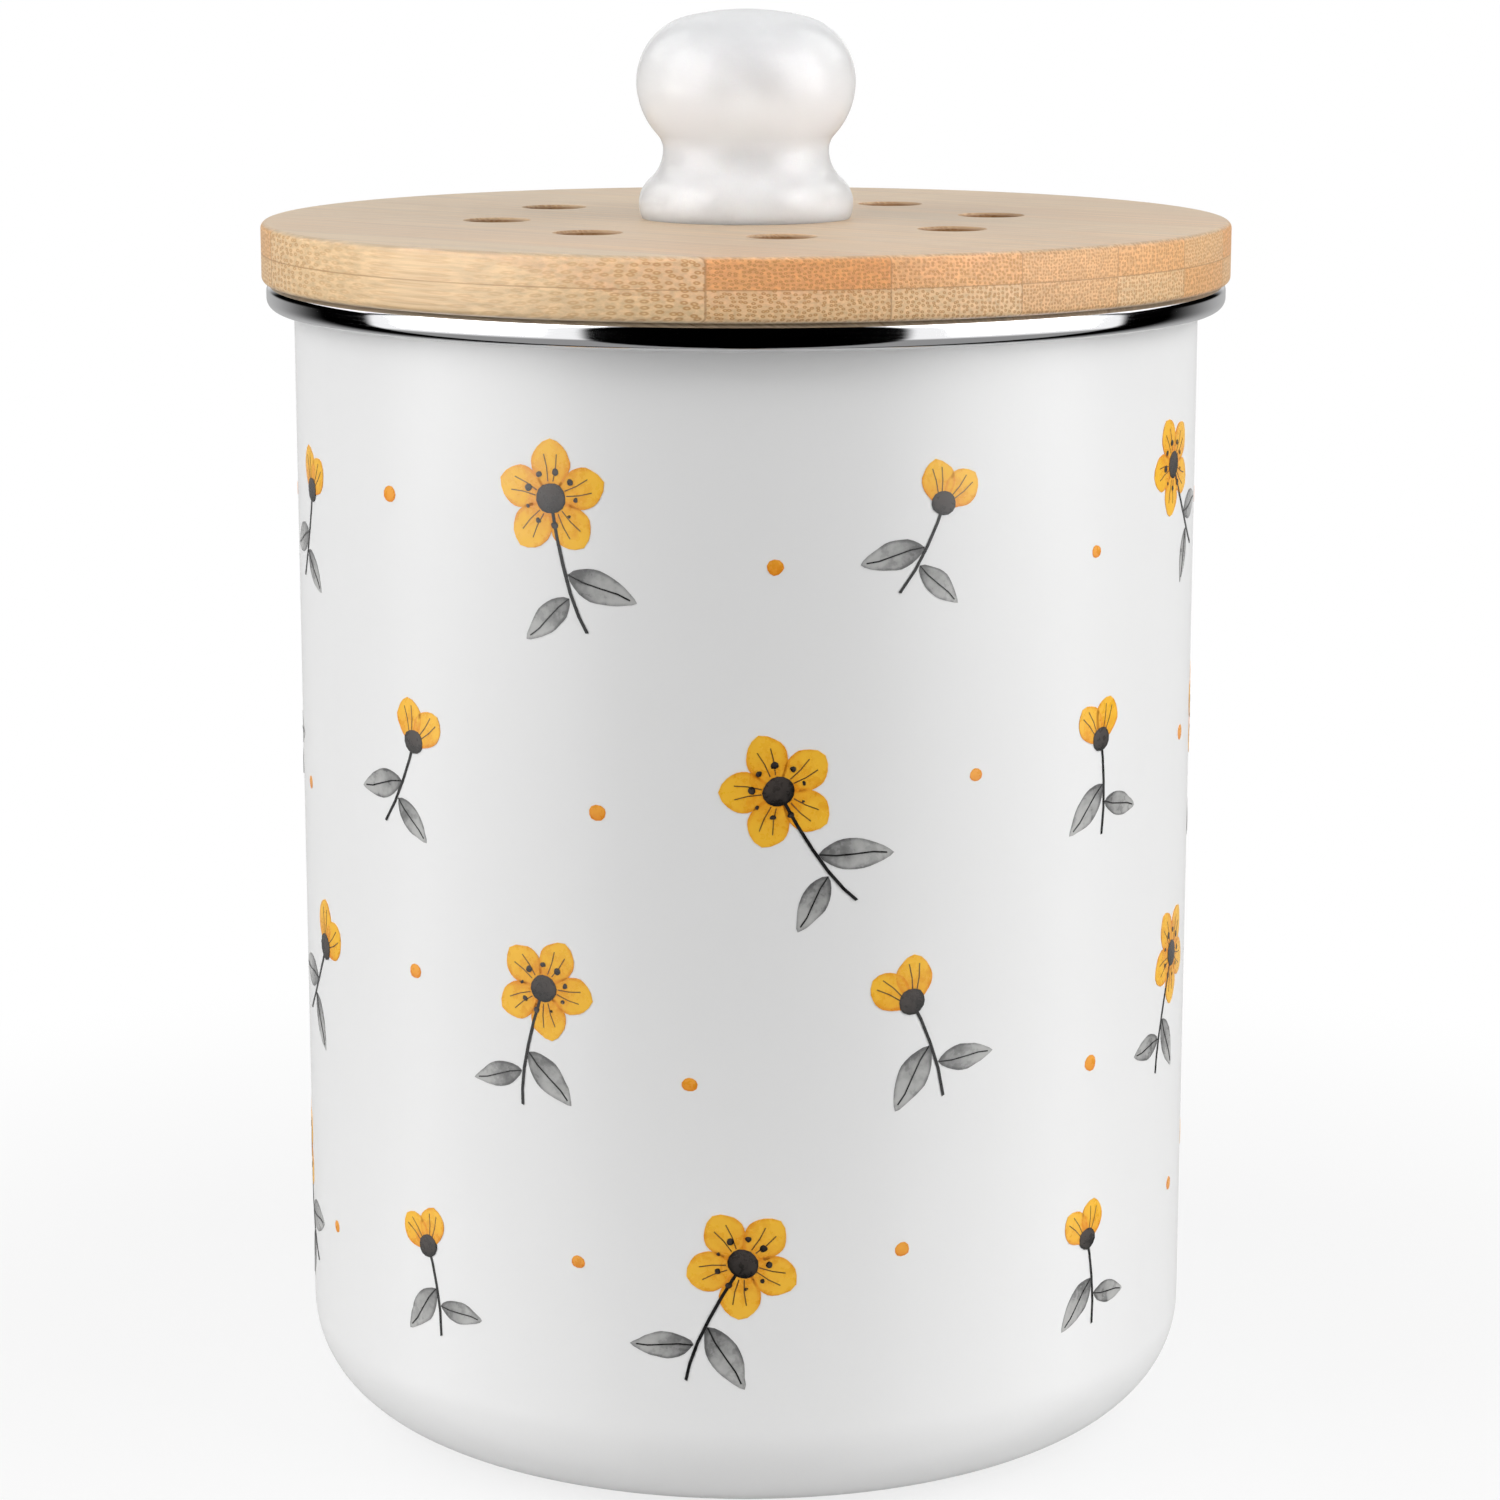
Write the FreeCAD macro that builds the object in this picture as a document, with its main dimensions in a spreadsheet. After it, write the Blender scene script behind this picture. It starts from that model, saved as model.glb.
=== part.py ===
import FreeCAD, Part
import math
import os
import re

import Sketcher

# A food waste caddy: an enamelled steel pot with a crimped steel rim, and a vented bamboo lid with a knob.
# Millimetres, +Z up, origin at the centre of the base. The front faces -Y.

# Driving sizes: alias, value and what it measures.
SIZES = [
    ("pot_diameter", 144.0, "outside of the pot's wall"),
    ("pot_height", 183.5, "table to the top of the rim"),
    ("pot_wall", 1.2, "steel sheet with enamel on both sides"),
    ("base_corner_radius", 16.0, "outside of the drawn corner at the base"),
    ("stand_ring", 10.0, "width of the flat ring that the pot stands on"),
    ("base_recess_depth", 1.5, "height of the base panel above the table"),
    ("base_recess_slope", 3.0, "width of the sloping step round that panel"),
    ("base_recess_radius", 0.8, "rounding of that step"),
    ("mouth_radius", 2.2, "inside bend from the wall to the lip"),
    ("rim_overhang", 4.3, "rim's outside beyond the pot's wall"),
    ("rim_height", 4.2, "height of the rim band"),
    ("rim_sheet", 0.5, "sheet of the rim band"),
    ("rim_edge_radius", 1.3, "outside corners of the rim band"),
    ("rim_hem", 1.6, "edge of the band turned in under the lip"),
    ("rim_fit", 0.05, "gap between the band and the lip's side and foot"),
    ("lid_overhang", 0.7, "board's edge beyond the rim's outside"),
    ("ply_thickness", 4.75, "each of the board's two plies"),
    ("lid_edge_radius", 1.0, "rounding of the board's edges"),
    ("stave_width", 18.3, "bamboo staves glued side by side in a ply"),
    ("stave_turn", 52.0, "direction across the staves from the X axis, degrees"),
    ("vent_diameter", 10.0, "vent holes in the board"),
    ("vent_circle", 79.6, "circle through the vents' centres"),
    ("vent_count", 8, "vents on that circle"),
    ("vent_turn", 7.8, "first vent from the X axis, degrees"),
    ("vent_chamfer", 0.4, "broken edge of each vent"),
    ("plug_gap", 2.2, "plug ring to the pot's wall"),
    ("plug_width", 14.0, "radial width of the plug ring"),
    ("plug_toe", 3.6, "plug ring below its groove"),
    ("plug_chamfer", 1.2, "lead-in at the plug ring's outer foot"),
    ("groove_drop", 3.0, "board to the top of the seal's groove"),
    ("groove_height", 4.4, "height of the seal's groove"),
    ("groove_depth", 2.8, "depth of the seal's groove"),
    ("seal_fit", 0.3, "gap behind and above the seal in its groove"),
    ("seal_clearance", 0.3, "seal's lips to the pot's wall"),
    ("seal_lip", 1.4, "thickness of a lip at its root"),
    ("seal_tip", 0.4, "thickness of a lip at its tip"),
    ("ledge_width", 2.0, "step in the plug ring that stops the filter"),
    ("filter_headroom", 1.6, "air space between board and filter"),
    ("filter_thickness", 7.5, "charcoal filter disc"),
    ("filter_fit", 0.3, "gap round the filter in the plug ring"),
    ("filter_edge_radius", 0.8, "softened edges of the filter"),
    ("filter_lead", 0.6, "lead-in for the filter at the plug ring's inner foot"),
    ("knob_diameter", 34.8, "widest part of the knob's bulb"),
    ("crown_radius", 40.6, "shallow dome on top of the knob"),
    ("crown_rise", 11.3, "widest part of the bulb to the top"),
    ("bulb_rise", 10.7, "neck to the widest part of the bulb"),
    ("neck_diameter", 26.4, "narrowest part of the knob"),
    ("neck_height", 10.8, "board to the neck"),
    ("neck_cove_radius", 3.5, "hollow above the neck"),
    ("foot_diameter", 34.2, "widest part of the knob's foot"),
    ("foot_height", 2.3, "board to the widest part of the foot"),
    ("foot_radius", 5.2, "rounding of the foot"),
    ("screw_diameter", 4.0, "knob screw"),
    ("screw_grip", 9.8, "screw's reach into the knob's insert"),
    ("screw_point", 0.5, "chamfer at the screw's end"),
    ("screw_hole_gap", 0.3, "screw to the holes in board and washer, radial"),
    ("thread_gap", 0.04, "screw to the insert, radial"),
    ("head_diameter", 8.0, "screw's pan head"),
    ("head_height", 2.4, "screw's pan head"),
    ("head_dome_radius", 1.2, "rounded edge of the pan head"),
    ("drive_width", 1.1, "arms of the cross recess"),
    ("drive_length", 4.6, "tip to tip of the cross recess"),
    ("drive_depth", 1.4, "depth of the cross recess"),
    ("washer_diameter", 10.0, "washer under the screw's head"),
    ("washer_thickness", 0.8, "washer under the screw's head"),
    ("counterbore_depth", 2.4, "pocket for washer and head in the board's underside"),
    ("counterbore_gap", 0.5, "washer to that pocket, radial"),
    ("insert_diameter", 6.0, "threaded brass insert in the knob"),
    ("insert_spare", 1.2, "insert beyond the screw's end"),
    ("insert_recess", 0.3, "insert's mouth below the knob's foot"),
    ("insert_groove", 0.35, "depth of the grooves that key the insert"),
    ("insert_fit", 0.05, "insert to the knob's bore, radial"),
    ("bore_spare", 3.0, "knob's bore beyond the insert"),
]
ALIASES = {alias for alias, _, _ in SIZES}

# Places that several pieces share, as expressions in the sheet's aliases.
POT_OUTSIDE = "(pot_diameter / 2)"
POT_INSIDE = f"({POT_OUTSIDE} - pot_wall)"
RIM_OUTSIDE = f"({POT_OUTSIDE} + rim_overhang)"
BAND_INSIDE = f"({RIM_OUTSIDE} - rim_sheet)"
BAND_UNDERSIDE = "(pot_height - rim_sheet)"
HEM_TOP = "(pot_height - rim_height + rim_sheet)"
LID_RADIUS = f"({RIM_OUTSIDE} + lid_overhang)"
PLY_JOINT = "(pot_height + ply_thickness)"
BOARD_TOP = f"({PLY_JOINT} + ply_thickness)"
PLUG_OUTSIDE = f"({POT_INSIDE} - plug_gap)"
PLUG_INSIDE = f"({PLUG_OUTSIDE} - plug_width)"
GROOVE_FLOOR = f"({PLUG_OUTSIDE} - groove_depth)"
GROOVE_TOP = "(pot_height - groove_drop)"
GROOVE_FOOT = f"({GROOVE_TOP} - groove_height)"
FILTER_TOP = "(pot_height - filter_headroom)"
SCREW_HOLE = "(screw_diameter / 2 + screw_hole_gap)"
HEAD_SEAT = "(pot_height + counterbore_depth - washer_thickness)"
INSERT_LENGTH = "(screw_grip + insert_spare)"

# The knob insert is three ridges with two grooves between them.
INSERT_BANDS = 5

# Numbers that a sketch gives to its origin, its axes and the points of a curve.
ORIGIN = -1
H_AXIS = -1
V_AXIS = -2
START, END, CENTRE = range(1, 4)

# Lengths closer than this count as equal.
TOUCH = 1e-4
UP = FreeCAD.Vector(0, 0, 1)

doc = FreeCAD.newDocument("food_waste_caddy")
sheet = doc.addObject("Spreadsheet::Sheet", "Sizes")
for row, (alias, value, meaning) in enumerate(SIZES, start=1):
    sheet.set(f"A{row}", meaning)
    sheet.set(f"B{row}", str(value))
    sheet.setAlias(f"B{row}", alias)
doc.recompute()


def cells(expression):
    """An expression in the sheet's aliases, with the sheet named in front of each alias."""
    return re.sub(r"[a-z_]+", lambda word: f"Sizes.{word[0]}" if word[0] in ALIASES else word[0], expression)


def number(expression):
    """What an expression in the sheet's aliases comes to."""
    result = sheet.evalExpression(cells(expression))
    return float(getattr(result, "Value", result))


def new_body(label, height="0"):
    """An empty body whose own origin is at a height on the caddy's axis."""
    body = doc.addObject("PartDesign::Body", label)
    body.Label = label
    if height != "0":
        body.setExpression("Placement.Base.z", cells(height))
    return body


def new_sketch(body, name, role="XZ_Plane", height="0"):
    """A sketch on one of the body's origin planes, or parallel to it at a height."""
    sketch = body.newObject("Sketcher::SketchObject", name)
    plane = next(feature for feature in body.Origin.OriginFeatures if feature.Role == role)
    sketch.AttachmentSupport = (plane, [""])
    sketch.MapMode = "FlatFace"
    if height != "0":
        sketch.setExpression("AttachmentOffset.Base.z", cells(height))
    return sketch


def measure(sketch, expression, kind, *curve):
    """Adds a dimension to a sketch and binds it to an expression."""
    index = sketch.addConstraint(Sketcher.Constraint(kind, *curve, number(expression)))
    sketch.setExpression(f"Constraints[{index}]", cells(expression))


def pin(sketch, curve, point, across, up):
    """Holds a point of a sketch at two expressions, or on an axis where one of them is zero."""
    for kind, expression, axis in (("DistanceX", across, V_AXIS), ("DistanceY", up, H_AXIS)):
        if expression == "0":
            sketch.addConstraint(Sketcher.Constraint("PointOnObject", curve, point, axis))
        else:
            measure(sketch, expression, kind, ORIGIN, START, curve, point)


def join(sketch, kind, first, second):
    """Ties two points of a sketch together, each given as (curve, point)."""
    sketch.addConstraint(Sketcher.Constraint(kind, *first, *second))


def draw_outline(sketch, corners):
    """Draws a closed outline of straight lines through corners given as pairs of expressions."""
    points = [FreeCAD.Vector(number(across), number(up), 0) for across, up in corners]
    count = len(points)
    for index, point in enumerate(points):
        sketch.addGeometry(Part.LineSegment(point, points[(index + 1) % count]))
    for index, (across, up) in enumerate(corners):
        join(sketch, "Coincident", (index - 1 if index else count - 1, END), (index, START))
        pin(sketch, index, START, across, up)


def draw_circle(sketch, across, up, radius):
    """Draws a circle at a place given by expressions."""
    centre = FreeCAD.Vector(number(across), number(up), 0)
    circle = sketch.addGeometry(Part.Circle(centre, UP, number(radius)))
    pin(sketch, circle, CENTRE, across, up)
    measure(sketch, radius, "Radius", circle)


def revolve(body, sketch):
    """Turns a sketch once round the caddy's axis."""
    turned = body.newObject("PartDesign::Revolution", body.Label + "_turned")
    turned.Profile = sketch
    turned.ReferenceAxis = (sketch, ["V_Axis"])
    turned.Angle = 360
    doc.recompute()


def lathe(label, corners, height="0"):
    """A body turned from an outline of straight lines."""
    body = new_body(label, height)
    sketch = new_sketch(body, label + "_profile")
    draw_outline(sketch, corners)
    revolve(body, sketch)
    return body


def cut_down(body, sketch):
    """Cuts a sketch downwards through everything, and checks that this removed material."""
    before = body.Tip.Shape.Volume
    pocket = body.newObject("PartDesign::Pocket", sketch.Label + "_cut")
    pocket.Profile = sketch
    pocket.Type = "ThroughAll"
    doc.recompute()
    if pocket.Shape.Volume > before - TOUCH:
        raise RuntimeError(f"{sketch.Label} cut nothing")
    return pocket


def repeat_round(body, cut, sketch, count):
    """Repeats a cut evenly round the sketch's normal."""
    pattern = body.newObject("PartDesign::PolarPattern", sketch.Label + "_pattern")
    pattern.Originals = [cut]
    pattern.Axis = (sketch, ["N_Axis"])
    pattern.Angle = 360
    pattern.setExpression("Occurrences", cells(count))
    body.Tip = pattern
    doc.recompute()


def dress(body, kind, size_name, expression, places):
    """Rounds or bevels every round edge at some (radius, height) places, by a size bound to an expression."""
    wanted = [(number(radius), number(height)) for radius, height in places]
    edges = []
    for index, edge in enumerate(body.Tip.Shape.Edges, start=1):
        if not isinstance(edge.Curve, Part.Circle):
            continue
        radius, height = edge.Curve.Radius, edge.Curve.Center.z
        if any(abs(radius - r) < TOUCH and abs(height - z) < TOUCH for r, z in wanted):
            edges.append(f"Edge{index}")
    if len(edges) < len(places):
        raise RuntimeError(f"{body.Label}: found {len(edges)} round edges for {len(places)} places")
    base = body.Tip
    feature = body.newObject(f"PartDesign::{kind}", f"{body.Label}_{kind.lower()}")
    feature.Base = (base, edges)
    feature.setExpression(size_name, cells(expression))
    doc.recompute()


def fillet(body, radius, *places):
    dress(body, "Fillet", "Radius", radius, places)


def chamfer(body, size, *places):
    dress(body, "Chamfer", "Size", size, places)


def make_pot():
    """The drawn pot: raised base panel, rounded corner, straight wall, and a lip bent out and down."""
    recess = f"({POT_OUTSIDE} - base_corner_radius - stand_ring)"
    panel = f"({recess} - base_recess_slope)"
    slope = "sqrt(base_recess_slope * base_recess_slope + base_recess_depth * base_recess_depth)"
    shift = f"(pot_wall * ({slope} - base_recess_slope) / base_recess_depth)"
    floor = "(base_recess_depth + pot_wall)"
    lip_outside = f"({BAND_INSIDE} - rim_fit)"
    lip_inside = f"({lip_outside} - pot_wall)"
    lip_under = f"({BAND_UNDERSIDE} - pot_wall)"
    lip_foot = f"({HEM_TOP} + rim_fit)"
    pot = lathe("enamel_pot", [
        ("0", "base_recess_depth"),
        (panel, "base_recess_depth"),
        (recess, "0"),
        (POT_OUTSIDE, "0"),
        (POT_OUTSIDE, lip_under),
        (lip_inside, lip_under),
        (lip_inside, lip_foot),
        (lip_outside, lip_foot),
        (lip_outside, BAND_UNDERSIDE),
        (POT_INSIDE, BAND_UNDERSIDE),
        (POT_INSIDE, "pot_wall"),
        (f"{recess} + {shift}", "pot_wall"),
        (f"{panel} + {shift}", floor),
        ("0", floor),
    ])
    fillet(pot, "base_corner_radius", (POT_OUTSIDE, "0"))
    fillet(pot, "base_corner_radius - pot_wall", (POT_INSIDE, "pot_wall"))
    fillet(pot, "mouth_radius", (POT_INSIDE, BAND_UNDERSIDE))
    fillet(pot, "mouth_radius - pot_wall", (POT_OUTSIDE, lip_under))
    lip_radius = "rim_edge_radius - rim_sheet - rim_fit"
    fillet(pot, lip_radius, (lip_outside, BAND_UNDERSIDE), (lip_outside, lip_foot))
    fillet(pot, "base_recess_radius", (panel, "base_recess_depth"), (recess, "0"),
           (f"{recess} + {shift}", "pot_wall"), (f"{panel} + {shift}", floor))
    return pot


def make_rim():
    """The steel band over the pot's lip: a channel open inwards, with its foot hemmed in under the lip."""
    land = f"({POT_INSIDE} + mouth_radius)"
    foot = "(pot_height - rim_height)"
    hem_edge = f"({BAND_INSIDE} - rim_hem)"
    rim = lathe("rim_band", [
        (land, "pot_height"),
        (land, BAND_UNDERSIDE),
        (BAND_INSIDE, BAND_UNDERSIDE),
        (BAND_INSIDE, HEM_TOP),
        (hem_edge, HEM_TOP),
        (hem_edge, foot),
        (RIM_OUTSIDE, foot),
        (RIM_OUTSIDE, "pot_height"),
    ])
    fillet(rim, "rim_edge_radius", (RIM_OUTSIDE, "pot_height"), (RIM_OUTSIDE, foot))
    fillet(rim, "rim_edge_radius - rim_sheet", (BAND_INSIDE, BAND_UNDERSIDE), (BAND_INSIDE, HEM_TOP))
    return rim


def make_ply_blank(label, foot, top, open_face):
    """One ply of the board as a whole disc, with vents and screw hole. Its open face has softened edges."""
    blank = lathe(label, [(SCREW_HOLE, foot), (LID_RADIUS, foot), (LID_RADIUS, top), (SCREW_HOLE, top)])
    vent = new_sketch(blank, label + "_vent", "XY_Plane", top)
    across = "vent_circle / 2 * cos(vent_turn)"
    along = "vent_circle / 2 * sin(vent_turn)"
    draw_circle(vent, across, along, "vent_diameter / 2")
    repeat_round(blank, cut_down(blank, vent), vent, "vent_count")
    fillet(blank, "lid_edge_radius", (LID_RADIUS, open_face))
    chamfer(blank, "vent_chamfer", ("vent_diameter / 2", open_face))
    return blank


def make_staves(blank, name, foot):
    """Saws a ply into a middle stave and more to the front and back of it. The last ones reach the edge."""
    width = number("stave_width")
    side_count = round((number(LID_RADIUS) - width / 2) / width)
    reach = f"({LID_RADIUS} + stave_width)"
    staves = []
    for step in range(-side_count, side_count + 1):
        side = "front" if step < 0 else "back"
        label = f"{name}_stave_{side}_{abs(step)}" if step else f"{name}_stave_middle"
        near = f"(-{reach})" if step == -side_count else f"(stave_width * ({step} - 0.5))"
        far = reach if step == side_count else f"(stave_width * ({step} + 0.5))"
        slab = doc.addObject("Part::Box", label + "_slab")
        slab.Placement.Rotation = FreeCAD.Rotation(UP, number("stave_turn"))
        bindings = {
            "Length": f"{far} - {near}",
            "Width": f"2 * {reach}",
            "Height": "ply_thickness",
            "Placement.Rotation.Angle": "stave_turn",
            "Placement.Base.x": f"{near} * cos(stave_turn) + {reach} * sin(stave_turn)",
            "Placement.Base.y": f"{near} * sin(stave_turn) - {reach} * cos(stave_turn)",
            "Placement.Base.z": foot,
        }
        for path, expression in bindings.items():
            slab.setExpression(path, cells(expression))
        stave = doc.addObject("Part::Common", label)
        stave.Label = label
        stave.Base = blank
        stave.Tool = slab
        staves.append(stave)
    doc.recompute()
    return staves


def make_board():
    """The lid's board: two plies of staves, with the joints of both plies in line."""
    upper = make_ply_blank("upper_ply", PLY_JOINT, BOARD_TOP, BOARD_TOP)
    lower = make_ply_blank("lower_ply", "pot_height", PLY_JOINT, "pot_height")
    counterbore = new_sketch(lower, "counterbore", "XY_Plane", "pot_height + counterbore_depth")
    draw_circle(counterbore, "0", "0", "washer_diameter / 2 + counterbore_gap")
    cut_down(lower, counterbore)
    return make_staves(upper, "upper", PLY_JOINT) + make_staves(lower, "lower", "pot_height")


def make_plug_ring():
    """The ring under the board: it centres the lid, carries the seal in a groove and holds the filter."""
    foot = f"({GROOVE_FOOT} - plug_toe)"
    ledge = f"({PLUG_INSIDE} - ledge_width)"
    ring = lathe("plug_ring", [
        (ledge, "pot_height"),
        (ledge, FILTER_TOP),
        (PLUG_INSIDE, FILTER_TOP),
        (PLUG_INSIDE, foot),
        (PLUG_OUTSIDE, foot),
        (PLUG_OUTSIDE, GROOVE_FOOT),
        (GROOVE_FLOOR, GROOVE_FOOT),
        (GROOVE_FLOOR, GROOVE_TOP),
        (PLUG_OUTSIDE, GROOVE_TOP),
        (PLUG_OUTSIDE, "pot_height"),
    ])
    chamfer(ring, "plug_chamfer", (PLUG_OUTSIDE, foot))
    chamfer(ring, "filter_lead", (PLUG_INSIDE, foot))
    return ring


def make_seal():
    """The silicone ring: a square root that lies in the plug's groove, and two lips towards the wall."""
    root = f"({GROOVE_FLOOR} + seal_fit)"
    top = f"({GROOVE_TOP} - seal_fit)"
    tip = f"({POT_INSIDE} - seal_clearance)"
    corners = [(root, top), (root, GROOVE_FOOT)]
    for lip_foot in (GROOVE_FOOT, f"({top} - seal_lip)"):
        corners += [
            (PLUG_OUTSIDE, lip_foot),
            (tip, f"{lip_foot} + (seal_lip - seal_tip) / 2"),
            (tip, f"{lip_foot} + (seal_lip + seal_tip) / 2"),
            (PLUG_OUTSIDE, f"{lip_foot} + seal_lip"),
        ]
    return lathe("lid_seal", corners)


def make_filter():
    """The charcoal disc pushed up into the plug ring, against its ledge."""
    radius = f"({PLUG_INSIDE} - filter_fit)"
    foot = f"({FILTER_TOP} - filter_thickness)"
    disc = lathe("charcoal_filter", [("0", foot), (radius, foot), (radius, FILTER_TOP), ("0", FILTER_TOP)])
    fillet(disc, "filter_edge_radius", (radius, foot), (radius, FILTER_TOP))
    return disc


def arc(centre, radius, start, end):
    """A circular arc from one direction to another, both in radians, anticlockwise."""
    circle = Part.Circle(FreeCAD.Vector(*centre, 0), UP, radius)
    return Part.ArcOfCircle(circle, start, end)


def direction(start, end):
    """The direction from one point to another, in radians."""
    return math.atan2(end[1] - start[1], end[0] - start[0])


def draw_knob_profile(sketch):
    """Foot, two coves that meet at the neck, a bulb of two arcs, and a crown, each smooth with the next.

    Three radii follow from the others: the lower cove touches the foot, the bulb's lower arc touches the
    upper cove, and the bulb's upper arc touches the crown.
    """
    height = "(neck_height + bulb_rise + crown_rise)"
    widest = "(neck_height + bulb_rise)"
    neck_radius, neck_height = number("neck_diameter / 2"), number("neck_height")
    bulb_radius, bulb_height = number("knob_diameter / 2"), number(widest)
    bulb_rise, crown_rise = number("bulb_rise"), number("crown_rise")

    foot_radius = number("foot_radius")
    foot = (number("foot_diameter / 2 - foot_radius"), number("foot_height"))
    across = neck_radius - foot[0]
    drop = neck_height - foot[1]
    low_cove_radius = (across ** 2 + drop ** 2 - foot_radius ** 2) / (2 * (foot_radius - across))
    low_cove = (neck_radius + low_cove_radius, neck_height)

    high_cove_radius = number("neck_cove_radius")
    high_cove = (neck_radius + high_cove_radius, neck_height)
    across = high_cove[0] - bulb_radius
    belly_radius = (across ** 2 + bulb_rise ** 2 - high_cove_radius ** 2) / (2 * (high_cove_radius - across))
    belly = (bulb_radius - belly_radius, bulb_height)

    crown_radius = number("crown_radius")
    crown = (0.0, number(height) - crown_radius)
    span = 2 * crown_rise * crown_radius - crown_rise ** 2 - bulb_radius ** 2
    cheek_radius = span / (2 * (crown_radius - bulb_radius))
    cheek = (bulb_radius - cheek_radius, bulb_height)

    foot_start = -math.asin(foot[1] / foot_radius)
    foot_edge = foot[0] + foot_radius * math.cos(foot_start)
    crown_start = direction(crown, cheek)
    turn = 2 * math.pi
    base, foot_arc, low_arc, high_arc, belly_arc, cheek_arc, crown_arc, axis = sketch.addGeometry([
        Part.LineSegment(FreeCAD.Vector(0, 0, 0), FreeCAD.Vector(foot_edge, 0, 0)),
        arc(foot, foot_radius, foot_start, direction(foot, low_cove)),
        arc(low_cove, low_cove_radius, math.pi, direction(low_cove, foot) + turn),
        arc(high_cove, high_cove_radius, direction(high_cove, belly), math.pi),
        arc(belly, belly_radius, direction(belly, high_cove), 0.0),
        arc(cheek, cheek_radius, 0.0, crown_start),
        arc(crown, crown_radius, crown_start, math.pi / 2),
        Part.LineSegment(FreeCAD.Vector(0, number(height), 0), FreeCAD.Vector(0, 0, 0)),
    ])

    join(sketch, "Coincident", (base, START), (ORIGIN, START))
    join(sketch, "Coincident", (base, END), (foot_arc, START))
    join(sketch, "Tangent", (foot_arc, END), (low_arc, END))
    join(sketch, "Tangent", (low_arc, START), (high_arc, END))
    join(sketch, "Tangent", (high_arc, START), (belly_arc, START))
    join(sketch, "Tangent", (belly_arc, END), (cheek_arc, START))
    join(sketch, "Tangent", (cheek_arc, END), (crown_arc, START))
    join(sketch, "Coincident", (crown_arc, END), (axis, START))
    join(sketch, "Coincident", (axis, END), (base, START))
    join(sketch, "Horizontal", (high_arc, CENTRE), (high_arc, END))
    join(sketch, "Horizontal", (belly_arc, CENTRE), (belly_arc, END))
    sketch.addConstraint(Sketcher.Constraint("Horizontal", base))
    sketch.addConstraint(Sketcher.Constraint("PointOnObject", crown_arc, CENTRE, V_AXIS))
    pin(sketch, crown_arc, END, "0", height)
    pin(sketch, foot_arc, CENTRE, "foot_diameter / 2 - foot_radius", "foot_height")
    pin(sketch, high_arc, END, "neck_diameter / 2", "neck_height")
    pin(sketch, belly_arc, END, "knob_diameter / 2", widest)
    measure(sketch, "foot_radius", "Radius", foot_arc)
    measure(sketch, "neck_cove_radius", "Radius", high_arc)
    measure(sketch, "crown_radius", "Radius", crown_arc)


def make_knob():
    """The turned knob, with a blind bore for its insert."""
    knob = new_body("knob", BOARD_TOP)
    profile = new_sketch(knob, "knob_profile")
    draw_knob_profile(profile)
    revolve(knob, profile)
    bore = new_sketch(knob, "knob_bore", "XY_Plane", f"insert_recess + {INSERT_LENGTH} + bore_spare")
    draw_circle(bore, "0", "0", "insert_diameter / 2 + insert_fit")
    cut_down(knob, bore)
    return knob


def make_insert():
    """The brass insert, with grooves round it that key it into the knob."""
    bore = "(screw_diameter / 2 + thread_gap)"
    levels = ["0"] + [f"{INSERT_LENGTH} * {band} / {INSERT_BANDS}" for band in range(1, INSERT_BANDS + 1)]
    corners = [(bore, levels[-1]), (bore, levels[0])]
    for band in range(INSERT_BANDS):
        edge = "insert_diameter / 2" if band % 2 == 0 else "insert_diameter / 2 - insert_groove"
        corners += [(edge, levels[band]), (edge, levels[band + 1])]
    return lathe("knob_insert", corners, f"{BOARD_TOP} + insert_recess")


def make_screw():
    """The pan-head screw, head down, with a cross recess in its head."""
    shank = "(screw_diameter / 2)"
    head = "(head_diameter / 2)"
    end = f"(head_height + {BOARD_TOP} - {HEAD_SEAT} + insert_recess + screw_grip)"
    screw = lathe("knob_screw", [
        ("0", "0"),
        (head, "0"),
        (head, "head_height"),
        (shank, "head_height"),
        (shank, end),
        ("0", end),
    ], f"{HEAD_SEAT} - head_height")
    fillet(screw, "head_dome_radius", (head, "0"))
    chamfer(screw, "screw_point", (shank, end))
    arm = new_sketch(screw, "drive_arm", "XY_Plane", "drive_depth")
    draw_outline(arm, [
        ("-drive_width / 2", "0"),
        ("drive_width / 2", "0"),
        ("drive_width / 2", "drive_length / 2"),
        ("-drive_width / 2", "drive_length / 2"),
    ])
    repeat_round(screw, cut_down(screw, arm), arm, "4")
    return screw


def make_washer():
    """The flat washer between the screw's head and the board."""
    edge = "washer_diameter / 2"
    return lathe("knob_washer", [
        (SCREW_HOLE, "0"),
        (edge, "0"),
        (edge, "washer_thickness"),
        (SCREW_HOLE, "washer_thickness"),
    ], HEAD_SEAT)


def check(pieces):
    """Stops the build if any object failed or any piece isn't a valid solid."""
    for thing in doc.Objects:
        if "Invalid" in thing.State or "Error" in thing.State:
            raise RuntimeError(f"{thing.Label} failed: {thing.State}")
    for piece in pieces:
        if piece.Shape.isNull() or not piece.Shape.isValid() or not piece.Shape.Solids:
            raise RuntimeError(f"{piece.Label} has no valid solid")


def main():
    pieces = [make_pot(), make_rim(), make_plug_ring(), make_seal(), make_filter()]
    pieces += [make_knob(), make_insert(), make_screw(), make_washer()]
    pieces += make_board()
    doc.recompute()
    check(pieces)
    os.makedirs("parts", exist_ok=True)
    for piece in pieces:
        piece.Shape.exportStep(f"parts/{piece.Label}.step")
        print(f"{piece.Label}: {piece.Shape.Volume / 1000:.2f} cm3")


main()
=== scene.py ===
# %% [markdown]
# # An enamel caddy with a bamboo lid
# The imported CAD model comes in first and stays put: every piece made below is drawn over it, in the same
# frame and in metres. Its pieces are measured below, before anything else is added.

# %% Load the imported model
import math
import random

import bmesh
import bpy
from mathutils import Matrix, Vector


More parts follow.
